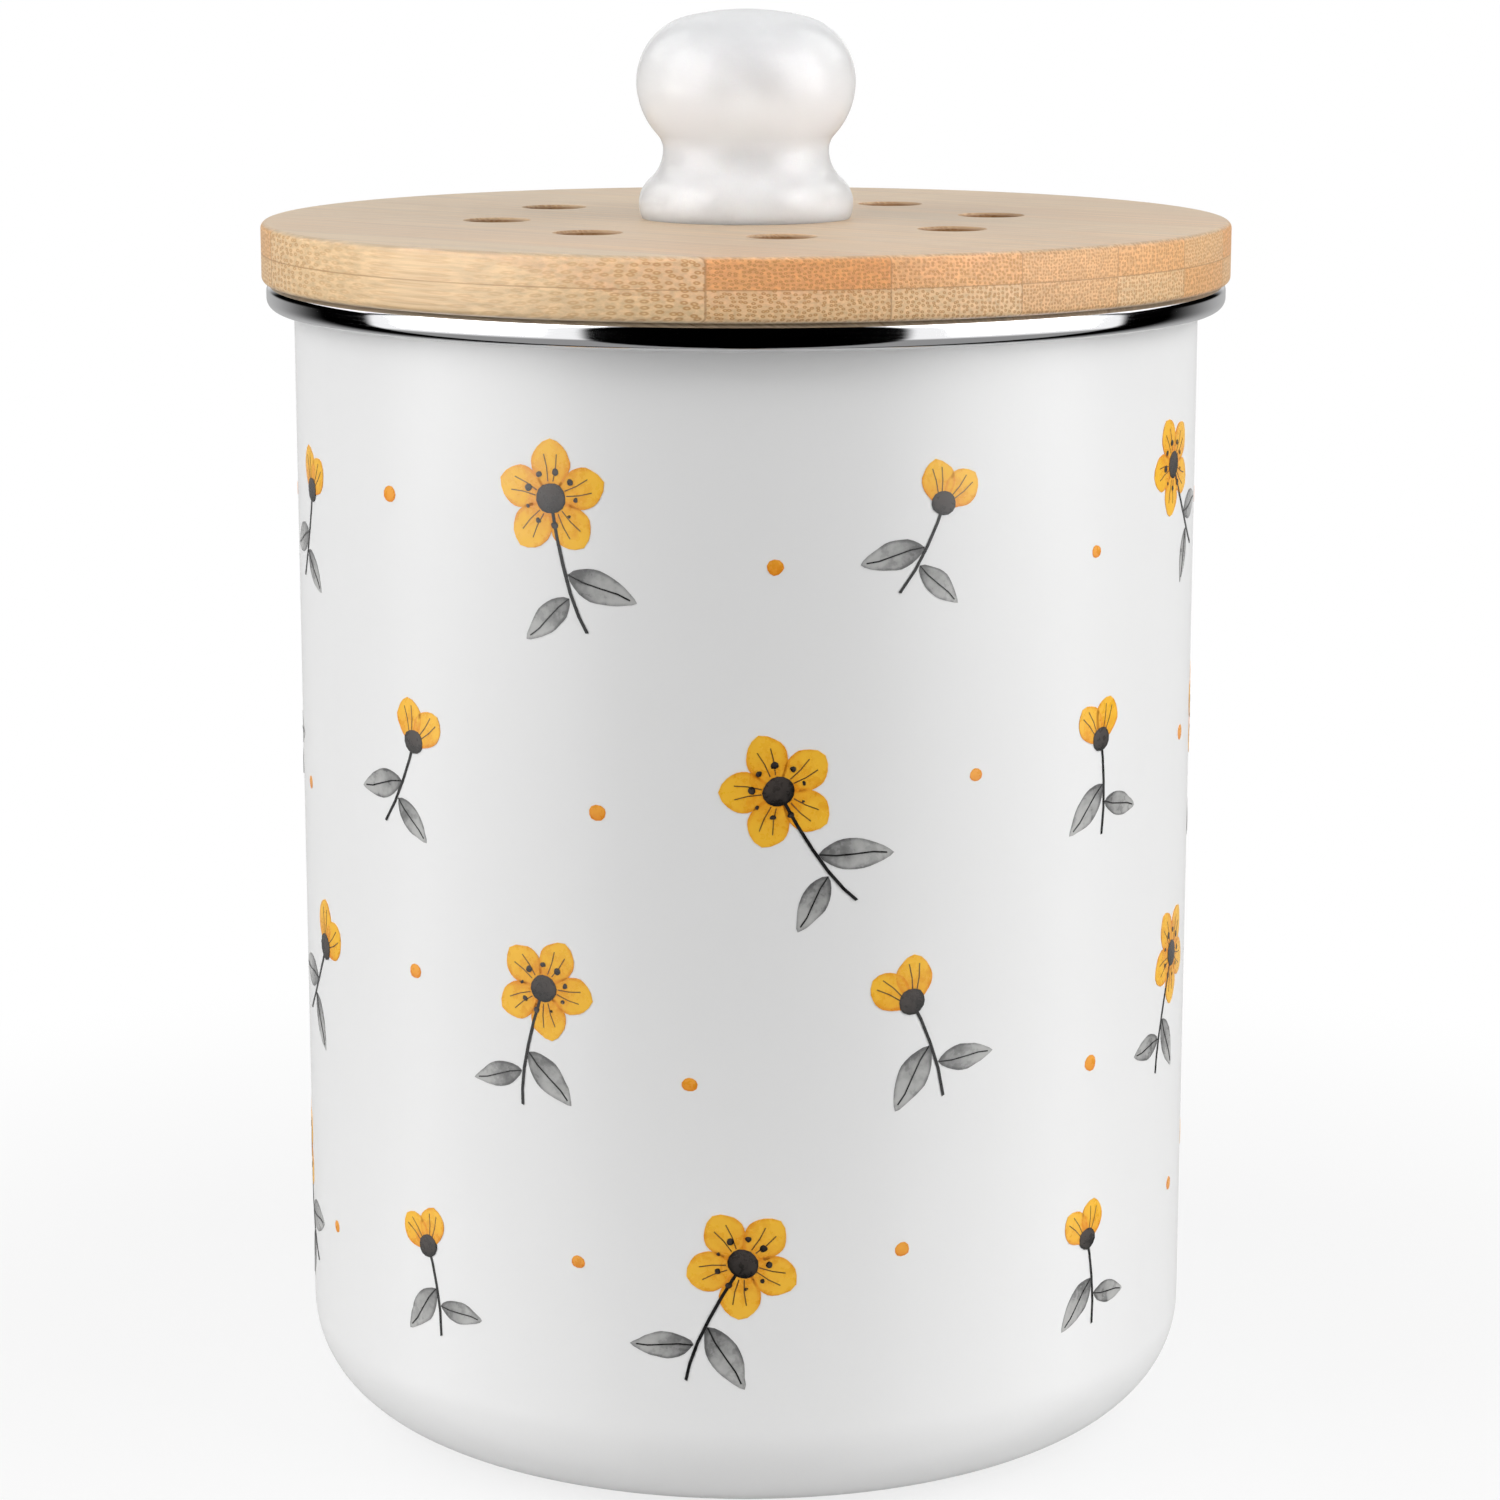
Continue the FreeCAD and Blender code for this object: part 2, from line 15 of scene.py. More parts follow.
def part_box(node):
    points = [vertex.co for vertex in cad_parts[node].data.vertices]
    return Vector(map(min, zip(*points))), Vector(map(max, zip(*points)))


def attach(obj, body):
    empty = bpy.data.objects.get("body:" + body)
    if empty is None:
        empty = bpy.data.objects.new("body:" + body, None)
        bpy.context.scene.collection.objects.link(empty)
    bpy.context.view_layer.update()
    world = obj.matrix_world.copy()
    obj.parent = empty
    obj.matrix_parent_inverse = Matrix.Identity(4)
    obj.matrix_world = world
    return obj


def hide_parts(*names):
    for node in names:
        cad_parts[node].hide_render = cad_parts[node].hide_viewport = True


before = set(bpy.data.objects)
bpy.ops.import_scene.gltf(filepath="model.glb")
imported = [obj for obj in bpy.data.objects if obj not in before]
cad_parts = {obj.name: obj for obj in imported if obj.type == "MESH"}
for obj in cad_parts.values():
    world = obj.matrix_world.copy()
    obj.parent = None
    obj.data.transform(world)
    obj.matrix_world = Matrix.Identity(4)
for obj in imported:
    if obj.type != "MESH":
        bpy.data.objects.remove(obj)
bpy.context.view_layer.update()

# %% [markdown]
# ## Sizes
# A maker thinks of this caddy in millimetres, and Blender in metres. Heights and radii come from the CAD
# pieces themselves, so the dressed pieces follow when the model changes. A few thin features, such as the
# thickness of the sheet steel, are written here by name.

# %% Measure the CAD pieces
MM = 0.001


def span(node):
    """Lowest height, highest height and greatest radius of a CAD node, in millimetres."""
    low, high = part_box(node)
    return low.z / MM, high.z / MM, high.x / MM


def radii_between(node, low, high):
    """Least and greatest radius of a CAD node's points between two heights, in millimetres."""
    points = [vertex.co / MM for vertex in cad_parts[node].data.vertices]
    radii = [math.hypot(point.x, point.y) for point in points if low <= point.z <= high]
    return min(radii), max(radii)


BASE_CORNER = 16.0
POT_WALL = 1.2
SLICE = 0.5
rim_foot, rim_top, rim_radius = span("rim_band")
wall_inside, wall_radius = radii_between("enamel_pot", BASE_CORNER - SLICE, BASE_CORNER + SLICE)
_, lip_top, lip_radius = span("enamel_pot")
lid_top = span("upper_stave_middle")[1]
lid_foot, ply_joint, _ = span("lower_stave_middle")
lid_radius = radii_between("upper_stave_front_4", ply_joint, lid_top)[1]
knob_foot, knob_top, knob_radius = span("knob")
print(f"wall {wall_radius:.2f}, rim {rim_radius:.2f}, lid {lid_radius:.2f}, knob top {knob_top:.2f}")

# %% [markdown]
# ## A lathe
# The pot, its rim, the knob and the rings under the lid are all round, and in the workshop each is spun or
# turned. In Blender the same idea is one outline and the Spin tool. The outline is drawn by hand-like moves:
# a single point is put down and extruded from corner to corner. Rounded corners are worked out as arcs, so
# the highlights run round them smoothly.

# %% Draw rounded outlines
LEAST_STEPS, STEPS_PER_MM = 6, 2


def rounded(corners):
    """Outline through (radius, height, rounding) corners, each rounded corner drawn as an arc."""
    outline = []
    for index, (radius, height, rounding) in enumerate(corners):
        corner = Vector((radius, height))
        if not rounding:
            outline.append(corner)
            continue
        before = (Vector(corners[index - 1][:2]) - corner).normalized()
        after = (Vector(corners[(index + 1) % len(corners)][:2]) - corner).normalized()
        half_angle = before.angle(after) / 2
        centre = corner + (before + after).normalized() * rounding / math.sin(half_angle)
        reach = rounding / math.tan(half_angle)
        start = (corner + before * reach - centre).normalized()
        end = (corner + after * reach - centre).normalized()
        steps = LEAST_STEPS + int(STEPS_PER_MM * rounding)
        outline += [centre + rounding * start.slerp(end, step / steps) for step in range(steps + 1)]
    return outline


def arc(centre, radius, start, end, steps=14):
    """Points along an arc between two directions given in radians."""
    turns = [start + (end - start) * step / steps for step in range(steps + 1)]
    return [Vector((centre[0] + radius * math.cos(turn), centre[1] + radius * math.sin(turn)))
            for turn in turns]


# %% Pick and tidy a piece
WELD = 1e-7


def use(piece):
    """Makes a piece the only selected object, so that the next operator acts on it alone."""
    bpy.ops.object.select_all(action="DESELECT")
    piece.select_set(True)
    bpy.context.view_layer.objects.active = piece


def tidy_mesh(piece, smooth_degrees=35):
    """Merges doubles, turns faces outwards and smooths the shading across soft edges."""
    use(piece)
    bpy.ops.object.mode_set(mode="EDIT")
    bpy.ops.mesh.select_all(action="SELECT")
    bpy.ops.mesh.remove_doubles(threshold=WELD)
    bpy.ops.mesh.normals_make_consistent(inside=False)
    bpy.ops.object.mode_set(mode="OBJECT")
    bpy.ops.object.shade_smooth_by_angle(angle=math.radians(smooth_degrees))


# %% Spin an outline
LATHE_STEPS = 192


def draw(name, corners):
    """Draws a line from corner to corner by extruding a point, and stays in edit mode."""
    bpy.ops.object.select_all(action="DESELECT")
    bpy.ops.mesh.primitive_plane_add(size=MM)
    piece = bpy.context.object
    piece.name = piece.data.name = name
    bpy.ops.object.mode_set(mode="EDIT")
    bpy.ops.mesh.merge(type="CENTER")
    bpy.ops.transform.translate(value=corners[0])
    for here, there in zip(corners, corners[1:]):
        bpy.ops.mesh.extrude_region_move(TRANSFORM_OT_translate={"value": there - here})
    bpy.ops.mesh.select_all(action="SELECT")
    bpy.ops.mesh.remove_doubles(threshold=WELD)
    return piece


def lathe(name, outline, steps=LATHE_STEPS):
    """Spins an outline, in millimetres, round Z. It is closed unless it starts and ends on the axis."""
    corners = [Vector((point[0], 0, point[1])) * MM for point in outline]
    if outline[0][0] > 0 or outline[-1][0] > 0:
        corners.append(corners[0])
    piece = draw(name, corners)
    bpy.ops.mesh.spin(steps=steps, angle=2 * math.pi, center=(0, 0, 0), axis=(0, 0, 1))
    bpy.ops.object.mode_set(mode="OBJECT")
    tidy_mesh(piece)
    print(f"{name}: {len(piece.data.polygons)} faces")
    return piece


# %% [markdown]
# ## The pot
# The pot is drawn from one sheet of steel: a raised base panel inside a ring that it stands on, a generous
# corner, a straight wall, and a lip bent outwards and down at the mouth. It could be a cylinder with a
# Solidify modifier, but then the lip and the base would need extra work. One outline that goes down the
# outside and up the inside gives both walls at once.

# %% Spin the pot
STAND_RING = 10.0
RECESS_SLOPE = 3.0
RECESS_DEPTH = 1.5
RECESS_ROUNDING = 0.8
MOUTH_BEND = 2.2
LIP_ROUNDING = 0.75
CURL_ROUNDING = 1.15
HEM_GAP = 0.05
RIM_SHEET = 0.5

recess_radius = wall_radius - BASE_CORNER - STAND_RING
panel_radius = recess_radius - RECESS_SLOPE
sheet_shift = POT_WALL * (math.hypot(RECESS_SLOPE, RECESS_DEPTH) - RECESS_SLOPE) / RECESS_DEPTH
curl_foot = rim_foot + RIM_SHEET + HEM_GAP
pot_shell = lathe("pot_shell", rounded([
    (0, RECESS_DEPTH, 0),
    (panel_radius, RECESS_DEPTH, RECESS_ROUNDING),
    (recess_radius, 0, RECESS_ROUNDING),
    (wall_radius, 0, BASE_CORNER),
    (wall_radius, lip_top - POT_WALL, MOUTH_BEND - POT_WALL),
    (lip_radius - POT_WALL, lip_top - POT_WALL, 0),
    (lip_radius - POT_WALL, curl_foot, 0),
    (lip_radius, curl_foot, CURL_ROUNDING),
    (lip_radius, lip_top, LIP_ROUNDING),
    (wall_inside, lip_top, MOUTH_BEND),
    (wall_inside, POT_WALL, BASE_CORNER - POT_WALL),
    (recess_radius + sheet_shift, POT_WALL, RECESS_ROUNDING),
    (panel_radius + sheet_shift, RECESS_DEPTH + POT_WALL, RECESS_ROUNDING),
    (0, RECESS_DEPTH + POT_WALL, 0),
]))

# %% [markdown]
# ## The steel rim
# A bright band of thin steel is rolled over the raw lip of the pot and hemmed under it. It is a channel
# that opens inwards, so it is drawn as a closed outline with the sheet's real thickness. Its outer corners
# are rounded generously, because a polished rim is seen by the curve of its reflections.

# %% Spin the rim
RIM_ROUNDING, RIM_FOOT_ROUNDING = 1.3, 1.8
RIM_HEM = 1.6
RIM_STEPS = 256
band_inside = rim_radius - RIM_SHEET
rim_land = wall_inside + MOUTH_BEND
hem_edge = band_inside - RIM_HEM
rim_trim = lathe("rim_trim", rounded([
    (rim_land, rim_top, 0),
    (rim_land, rim_top - RIM_SHEET, 0),
    (band_inside, rim_top - RIM_SHEET, RIM_ROUNDING - RIM_SHEET),
    (band_inside, rim_foot + RIM_SHEET, RIM_FOOT_ROUNDING - RIM_SHEET),
    (hem_edge, rim_foot + RIM_SHEET, 0),
    (hem_edge, rim_foot, 0),
    (rim_radius, rim_foot, RIM_FOOT_ROUNDING),
    (rim_radius, rim_top, RIM_ROUNDING),
]), RIM_STEPS)

# %% [markdown]
# ## The knob
# The knob is turned and glazed: a swelling foot, a narrow neck between two hollows, a bulb and a flat crown.
# A subdivided stack of rings would come close, but the hollow and the bulb have to flow into each other
# without a flat spot. Six arcs that touch each other exactly give that flow, as a turner's templates would.

# %% Spin the knob
FOOT_RADIUS, FOOT_RISE, FOOT_ROUNDING = 17.1, 2.3, 5.2
NECK_RADIUS, NECK_RISE, NECK_COVE = 13.2, 10.8, 3.5
BULB_RISE, CROWN_ARC = 10.7, 40.6
BORE_RADIUS, BORE_DEPTH = 3.05, 14.3


def direction(start, end):
    """Direction from one point of the outline to another, in radians."""
    return math.atan2(end[1] - start[1], end[0] - start[0])


def knob_outline():
    """The knob from the bore's end, round its foot and up to the crown."""
    height = knob_top - knob_foot
    bulb_height = NECK_RISE + BULB_RISE
    crown_rise = height - bulb_height

    foot = (FOOT_RADIUS - FOOT_ROUNDING, FOOT_RISE)
    across, drop = NECK_RADIUS - foot[0], NECK_RISE - FOOT_RISE
    low_cove_radius = (across ** 2 + drop ** 2 - FOOT_ROUNDING ** 2) / (2 * (FOOT_ROUNDING - across))
    low_cove = (NECK_RADIUS + low_cove_radius, NECK_RISE)

    high_cove = (NECK_RADIUS + NECK_COVE, NECK_RISE)
    across = high_cove[0] - knob_radius
    belly_radius = (across ** 2 + BULB_RISE ** 2 - NECK_COVE ** 2) / (2 * (NECK_COVE - across))
    belly = (knob_radius - belly_radius, bulb_height)

    crown = (0.0, height - CROWN_ARC)
    reach = 2 * crown_rise * CROWN_ARC - crown_rise ** 2 - knob_radius ** 2
    cheek_radius = reach / (2 * (CROWN_ARC - knob_radius))
    cheek = (knob_radius - cheek_radius, bulb_height)
    shoulder = direction(crown, cheek)

    outline = [Vector((0, BORE_DEPTH)), Vector((BORE_RADIUS, BORE_DEPTH)), Vector((BORE_RADIUS, 0))]
    outline += arc(foot, FOOT_ROUNDING, -math.asin(FOOT_RISE / FOOT_ROUNDING), direction(foot, low_cove))
    outline += arc(low_cove, low_cove_radius, direction(low_cove, foot) + 2 * math.pi, math.pi)[1:]
    outline += arc(high_cove, NECK_COVE, math.pi, direction(high_cove, belly))[1:]
    outline += arc(belly, belly_radius, direction(belly, high_cove), 0)[1:]
    outline += arc(cheek, cheek_radius, 0, shoulder)[1:]
    outline += arc(crown, CROWN_ARC, shoulder, math.pi / 2)[1:]
    outline[-1].x = 0
    return [point + Vector((0, knob_foot)) for point in outline]


knob_turned = lathe("knob_turned", knob_outline())

# %% [markdown]
# ## The rings under the lid
# Below the board hang the parts that make it a lid: a bamboo ring that drops into the mouth, a soft seal in
# the ring's groove with two thin lips that brush the wall, and a charcoal disc pushed up behind the vents.
# They show when the lid is lifted, so they get the same care as the outside.

# %% Spin the plug ring, the seal and the filter
PLUG_RADIUS, PLUG_BORE, PLUG_LEDGE = 68.6, 54.6, 52.6
GROOVE_RADIUS, GROOVE_FOOT, GROOVE_TOP = 65.8, 176.1, 180.5
PLUG_CHAMFER, BORE_CHAMFER, PLUG_ROUNDING = 1.2, 0.6, 0.3
SEAL_LIP, SEAL_TIP, SEAL_SLIP = 1.4, 0.4, 0.02
FILTER_ROUNDING = 0.8

plug_foot = span("plug_ring")[0]
seal_foot, seal_top, seal_radius = span("lid_seal")
seal_root = radii_between("lid_seal", seal_foot, seal_top)[0]
filter_foot, filter_top, filter_radius = span("charcoal_filter")

plug_turned = lathe("plug_turned", rounded([
    (PLUG_LEDGE, lid_foot, 0),
    (PLUG_LEDGE, filter_top, PLUG_ROUNDING),
    (PLUG_BORE, filter_top, 0),
    (PLUG_BORE, plug_foot + BORE_CHAMFER, 0),
    (PLUG_BORE + BORE_CHAMFER, plug_foot, 0),
    (PLUG_RADIUS - PLUG_CHAMFER, plug_foot, PLUG_ROUNDING),
    (PLUG_RADIUS, plug_foot + PLUG_CHAMFER, PLUG_ROUNDING),
    (PLUG_RADIUS, GROOVE_FOOT, 0),
    (GROOVE_RADIUS, GROOVE_FOOT, 0),
    (GROOVE_RADIUS, GROOVE_TOP, 0),
    (PLUG_RADIUS, GROOVE_TOP, 0),
    (PLUG_RADIUS, lid_foot, 0),
]))

seal_low = seal_foot + SEAL_SLIP
seal_corners = [(seal_root, seal_top, 0), (seal_root, seal_low, 0)]
for lip_low in (seal_low, seal_top - SEAL_LIP):
    seal_corners += [
        (PLUG_RADIUS, lip_low, 0),
        (seal_radius, lip_low + (SEAL_LIP - SEAL_TIP) / 2, SEAL_TIP / 3),
        (seal_radius, lip_low + (SEAL_LIP + SEAL_TIP) / 2, SEAL_TIP / 3),
        (PLUG_RADIUS, lip_low + SEAL_LIP, 0),
    ]
seal_lips = lathe("seal_lips", rounded(seal_corners))

filter_disc = lathe("filter_disc", rounded([
    (0, filter_foot, 0),
    (filter_radius, filter_foot, FILTER_ROUNDING),
    (filter_radius, filter_top, FILTER_ROUNDING),
    (0, filter_top, 0),
]))

# %% [markdown]
# ## The board
# The board is two plies of bamboo, each glued up from straight staves, then turned round and drilled with a
# ring of eight vents. Real boards are glued first and shaped afterwards, and the same order works here: each
# ply is spun as a whole disc, the vents are taken out with a Boolean, and only then is it sawn into staves
# with Bisect. So every stave meets its neighbours exactly, right across a vent.

# %% Spin the two plies
EDGE_ROUNDING = 1.0
SCREW_HOLE = 2.3
HEAD_POCKET, POCKET_DEPTH = 5.5, 2.4
BOARD_STEPS = 360

upper_ply = lathe("upper_ply", rounded([
    (SCREW_HOLE, ply_joint, 0),
    (lid_radius, ply_joint, 0),
    (lid_radius, lid_top, EDGE_ROUNDING),
    (SCREW_HOLE, lid_top, 0),
]), BOARD_STEPS)
lower_ply = lathe("lower_ply", rounded([
    (SCREW_HOLE, ply_joint, 0),
    (SCREW_HOLE, lid_foot + POCKET_DEPTH, 0),
    (HEAD_POCKET, lid_foot + POCKET_DEPTH, 0),
    (HEAD_POCKET, lid_foot, 0),
    (lid_radius, lid_foot, EDGE_ROUNDING),
    (lid_radius, ply_joint, 0),
]), BOARD_STEPS)

# %% Copy, move and join pieces
def copy_of(piece, name):
    """A copy of a piece with a mesh of its own."""
    copy = piece.copy()
    copy.data = piece.data.copy()
    copy.name = copy.data.name = name
    bpy.context.collection.objects.link(copy)
    return copy


def move_mesh(piece, matrix):
    """Moves a piece's mesh and leaves its object at the origin."""
    use(piece)
    piece.matrix_world = matrix
    bpy.ops.object.transform_apply(location=True, rotation=True, scale=True)


def join(pieces, name):
    """Joins pieces into the first of them."""
    use(pieces[0])
    for piece in pieces:
        piece.select_set(True)
    bpy.ops.object.join()
    pieces[0].name = pieces[0].data.name = name
    return pieces[0]


# %% Drill the vents
VENTS = 8
VENT_RADIUS, VENT_CHAMFER = 5.0, 0.4
VENT_CIRCLE, VENT_TURN = 39.8, 7.8
PAST_FACE = 1.0
DRILL_STEPS = 64

drill = lathe("drill", [
    (0, lid_foot - PAST_FACE),
    (VENT_RADIUS + VENT_CHAMFER + PAST_FACE, lid_foot - PAST_FACE),
    (VENT_RADIUS, lid_foot + VENT_CHAMFER),
    (VENT_RADIUS, lid_top - VENT_CHAMFER),
    (VENT_RADIUS + VENT_CHAMFER + PAST_FACE, lid_top + PAST_FACE),
    (0, lid_top + PAST_FACE),
], DRILL_STEPS)
vent_turns = [math.radians(VENT_TURN + vent * 360 / VENTS) for vent in range(VENTS)]
vent_places = [Vector((math.cos(turn), math.sin(turn), 0)) * VENT_CIRCLE * MM for turn in vent_turns]
drills = []
for place in vent_places:
    drills.append(copy_of(drill, "vent_drill"))
    move_mesh(drills[-1], Matrix.Translation(place))
drills = join(drills, "drills")
for ply in (upper_ply, lower_ply):
    use(ply)
    bore = ply.modifiers.new("vents", "BOOLEAN")
    bore.operation = "DIFFERENCE"
    bore.object = drills
    bpy.ops.object.modifier_apply(modifier=bore.name)
    print(f"{ply.name}: {len(ply.data.polygons)} faces with vents")
for tool in (drill, drills):
    bpy.data.objects.remove(tool)

# %% Saw the plies into staves
STAVE_WIDTH = 18.3
GRAIN_TURN = math.radians(52)
STAVES = ["front_4", "front_3", "front_2", "front_1", "middle", "back_1", "back_2", "back_3", "back_4"]
across_grain = Vector((math.cos(GRAIN_TURN), math.sin(GRAIN_TURN), 0))
along_grain = Vector((-math.sin(GRAIN_TURN), math.cos(GRAIN_TURN), 0))


def saw(piece, offset, keep_back):
    """Cuts a piece across the board at an offset from its middle, and closes the cut."""
    use(piece)
    bpy.ops.object.mode_set(mode="EDIT")
    bpy.ops.mesh.select_all(action="SELECT")
    bpy.ops.mesh.bisect(plane_co=across_grain * offset * MM, plane_no=across_grain, use_fill=True,
                        clear_inner=keep_back, clear_outer=not keep_back, threshold=WELD)
    bpy.ops.object.mode_set(mode="OBJECT")


staves = {}
for side, ply in (("upper", upper_ply), ("lower", lower_ply)):
    for index, place in enumerate(STAVES):
        start = (index - len(STAVES) / 2) * STAVE_WIDTH
        stave = copy_of(ply, f"{side}_board_{place}")
        if index > 0:
            saw(stave, start, keep_back=True)
        if index < len(STAVES) - 1:
            saw(stave, start + STAVE_WIDTH, keep_back=False)
        tidy_mesh(stave)
        staves[side, place] = stave
    bpy.data.objects.remove(ply)
print(f"{len(staves)} staves")

# %% [markdown]
# ## Node helpers
# Every finish below is a small node tree. The first helper adds a node and fills or links its sockets in a
# single line, and the others are short names for the nodes that come up most. Patterns read Object
# coordinates, which are the caddy's own frame, scaled to millimetres so that each texture's size can be read
# as a real size.

# %% Add nodes in one line
def node(tree, kind, sockets=None, **options):
    """Adds a shader node, sets its options, and fills or links the sockets named in a table."""
    made = tree.nodes.new("ShaderNode" + kind)
    for option, value in options.items():
        setattr(made, option, value)
    for socket, value in (sockets or {}).items():
        if isinstance(value, bpy.types.NodeSocket):
            tree.links.new(value, made.inputs[socket])
        else:
            made.inputs[socket].default_value = value
    return made


def calc(tree, operation, *values, **options):
    """The result of a Math node."""
    return node(tree, "Math", dict(enumerate(values)), operation=operation, **options).outputs[0]


def vector(tree, operation, *values):
    """The vector that a Vector Math node gives."""
    return node(tree, "VectorMath", dict(enumerate(values)), operation=operation).outputs[0]


def noted(tree, name):
    """A number that a piece carries on its points."""
    return node(tree, "Attribute", attribute_name=name).outputs["Fac"]


# %% Mix, map and scatter
NOISE_SPAN = 0.3, 0.7


def mix(tree, factor, first, second, mode="MIX"):
    """Mixes two colours and gives the result's socket."""
    made = node(tree, "Mix", {0: factor, 6: first, 7: second}, data_type="RGBA", blend_type=mode)
    return made.outputs[2]


def ramp(tree, value, start, end, low=0.0, high=1.0):
    """Maps a value smoothly from one range to another."""
    made = node(tree, "MapRange", {"Value": value, "From Min": start, "From Max": end,
                                   "To Min": low, "To Max": high}, interpolation_type="SMOOTHSTEP")
    return made.outputs[0]


def grey(tree, value):
    """A neutral colour from one value."""
    return node(tree, "CombineColor", {0: value, 1: value, 2: value}).outputs[0]


def noise(tree, place, scale, detail=2.0, roughness=0.5):
    """A noise pattern, with its scale in bumps per millimetre."""
    return node(tree, "TexNoise", {"Vector": place, "Scale": scale, "Detail": detail,
                                   "Roughness": roughness}).outputs["Fac"]


# %% Start a finish
def new_finish(name, **sockets):
    """A new material with its shader's plain values set, and its coordinates in millimetres."""
    material = bpy.data.materials.new(name)
    material.use_nodes = True
    tree = material.node_tree
    shader = tree.nodes["Principled BSDF"]
    for socket, value in sockets.items():
        shader.inputs[socket.replace("_", " ")].default_value = value
    place = node(tree, "Mapping", {"Vector": node(tree, "TexCoord").outputs["Object"],
                                   "Scale": (1 / MM, 1 / MM, 1 / MM)}).outputs[0]
    return material, tree, shader, place


def bump(tree, shader, height, depth, strength=1.0):
    """Gives a shader a bump whose height runs from 0 to a depth in millimetres."""
    made = node(tree, "Bump", {"Height": height, "Distance": depth * MM, "Strength": strength})
    tree.links.new(made.outputs[0], shader.inputs["Normal"])


# %% [markdown]
# ## Enamel, glaze and steel
# Enamel is glass fused to steel: white, glossy, but never quite flat. Two near whites that drift into each
# other and a very slight ripple keep the wall from looking like plastic. The knob has a thicker glaze that
# lets light into itself, so its shading is softer. The rim is polished steel whose fine polishing marks run
# round it, so its roughness is stretched along the rim.

# %% Make the enamel and the glaze
ENAMEL_WHITES = (0.87, 0.87, 0.867, 1), (0.862, 0.862, 0.862, 1)
GLAZE_WHITES = (0.67, 0.675, 0.685, 1), (0.66, 0.665, 0.675, 1)
GLASS_IOR = 1.52
CLOUD_SCALE, RIPPLE_SCALE = 0.02, 0.16


def vitreous(name, whites, ripple, **constants):
    """A fired white coat: two near whites that drift into each other, and a slight ripple."""
    material, tree, shader, place = new_finish(name, IOR=GLASS_IOR, **constants)
    cloud = noise(tree, place, CLOUD_SCALE, detail=0.0)
    tree.links.new(mix(tree, cloud, *whites), shader.inputs["Base Color"])
    bump(tree, shader, noise(tree, place, RIPPLE_SCALE, detail=0.0), ripple)
    return material


enamel = vitreous("fired_enamel", ENAMEL_WHITES, ripple=0.003, Roughness=0.27)
glaze = vitreous("knob_glaze", GLAZE_WHITES, ripple=0.006, Roughness=0.20, Specular_IOR_Level=0.35,
                 Subsurface_Weight=1.0, Subsurface_Scale=0.015, Subsurface_Radius=(1.0, 1.0, 1.0))
print(enamel.name, glaze.name)


# %% Make the metals
MARK_DEPTH = 0.002


def polished(name, colour, gloss, stretch):
    """Polished metal with fine marks drawn out along the given axes."""
    material, tree, shader, place = new_finish(name, Metallic=1.0, Base_Color=colour)
    marks = vector(tree, "MULTIPLY", place, stretch)
    smears = noise(tree, marks, 1.0, detail=4.0)
    tree.links.new(ramp(tree, smears, *NOISE_SPAN, *gloss), shader.inputs["Roughness"])
    bump(tree, shader, noise(tree, marks, 1.0, detail=2.0), MARK_DEPTH)
    return material


rim_steel = polished("rim_steel", (0.74, 0.74, 0.75, 1), gloss=(0.04, 0.09), stretch=(0.05, 0.05, 6.0))
zinc_steel = polished("zinc_steel", (0.52, 0.54, 0.56, 1), gloss=(0.28, 0.42), stretch=(1.5, 1.5, 1.5))
brass = polished("brass", (0.70, 0.48, 0.20, 1), gloss=(0.22, 0.35), stretch=(1.5, 1.5, 3.0))
print(rim_steel.name, zinc_steel.name, brass.name)

# %% [markdown]
# ## Bamboo
# Bamboo has no rings. It is pale pith crossed by darker fibre bundles that all run one way, so it shows long
# fine streaks along a stave and a field of small dots on the end grain. One pattern gives both: rods that
# follow the stave, cut by whatever surface is looked at. The rods are a flat Voronoi pattern across the
# grain, and a slow drift lets them come and go along a stave. Each stave carries numbers of its own as
# attributes: its tone, how closely its bundles stand, and where its vent walls get painted shade. On the
# board's face the stave tones are lowered, which makes it evener and paler than its edge, and it is mixed a
# little towards grey. The paleness and the grey are painted sheen, for the white surround that the face
# reflects at a low angle.

# %% Lay the fibre bundles
DRIFT_SCALE, DRIFT_REACH = 0.018, 5.0
BUNDLE_SCALE, BUNDLE_SCATTER = 1.25, 0.6
BUNDLE_EDGE, CORE_EDGE = (0.40, 0.24), (0.20, 0.06)
CORE_PALENESS = 0.75


def bundle_rings(tree, grain):
    """Rods along the grain, each a dark ring round a paler core: 1 in a ring and 0 in the pith."""
    drift = node(tree, "TexNoise", {"Vector": grain, "Scale": DRIFT_SCALE, "Detail": 1.0}).outputs["Color"]
    drift = vector(tree, "MULTIPLY", drift, (DRIFT_REACH, 0.0, DRIFT_REACH))
    rods = node(tree, "SeparateXYZ", {0: vector(tree, "ADD", grain, drift)}).outputs
    section = node(tree, "CombineXYZ", {"X": rods["X"], "Y": rods["Z"]}).outputs[0]
    section = node(tree, "VectorMath", {0: section, "Scale": noted(tree, "closeness")}, operation="SCALE")
    reach = node(tree, "TexVoronoi", {"Vector": section.outputs[0], "Scale": BUNDLE_SCALE,
                                      "Randomness": BUNDLE_SCATTER}, voronoi_dimensions="2D")
    reach = reach.outputs["Distance"]
    bundle = ramp(tree, reach, *BUNDLE_EDGE)
    core = ramp(tree, reach, *CORE_EDGE)
    return calc(tree, "MULTIPLY_ADD", core, -CORE_PALENESS, bundle)


# %% Find faces, end grain and glue lines
FACE_LIMITS, END_LIMITS = (0.5, 0.9), (0.05, 0.75)
GLUE_EDGE, GLUE_STRENGTH = (0.16, 0.03), 0.6


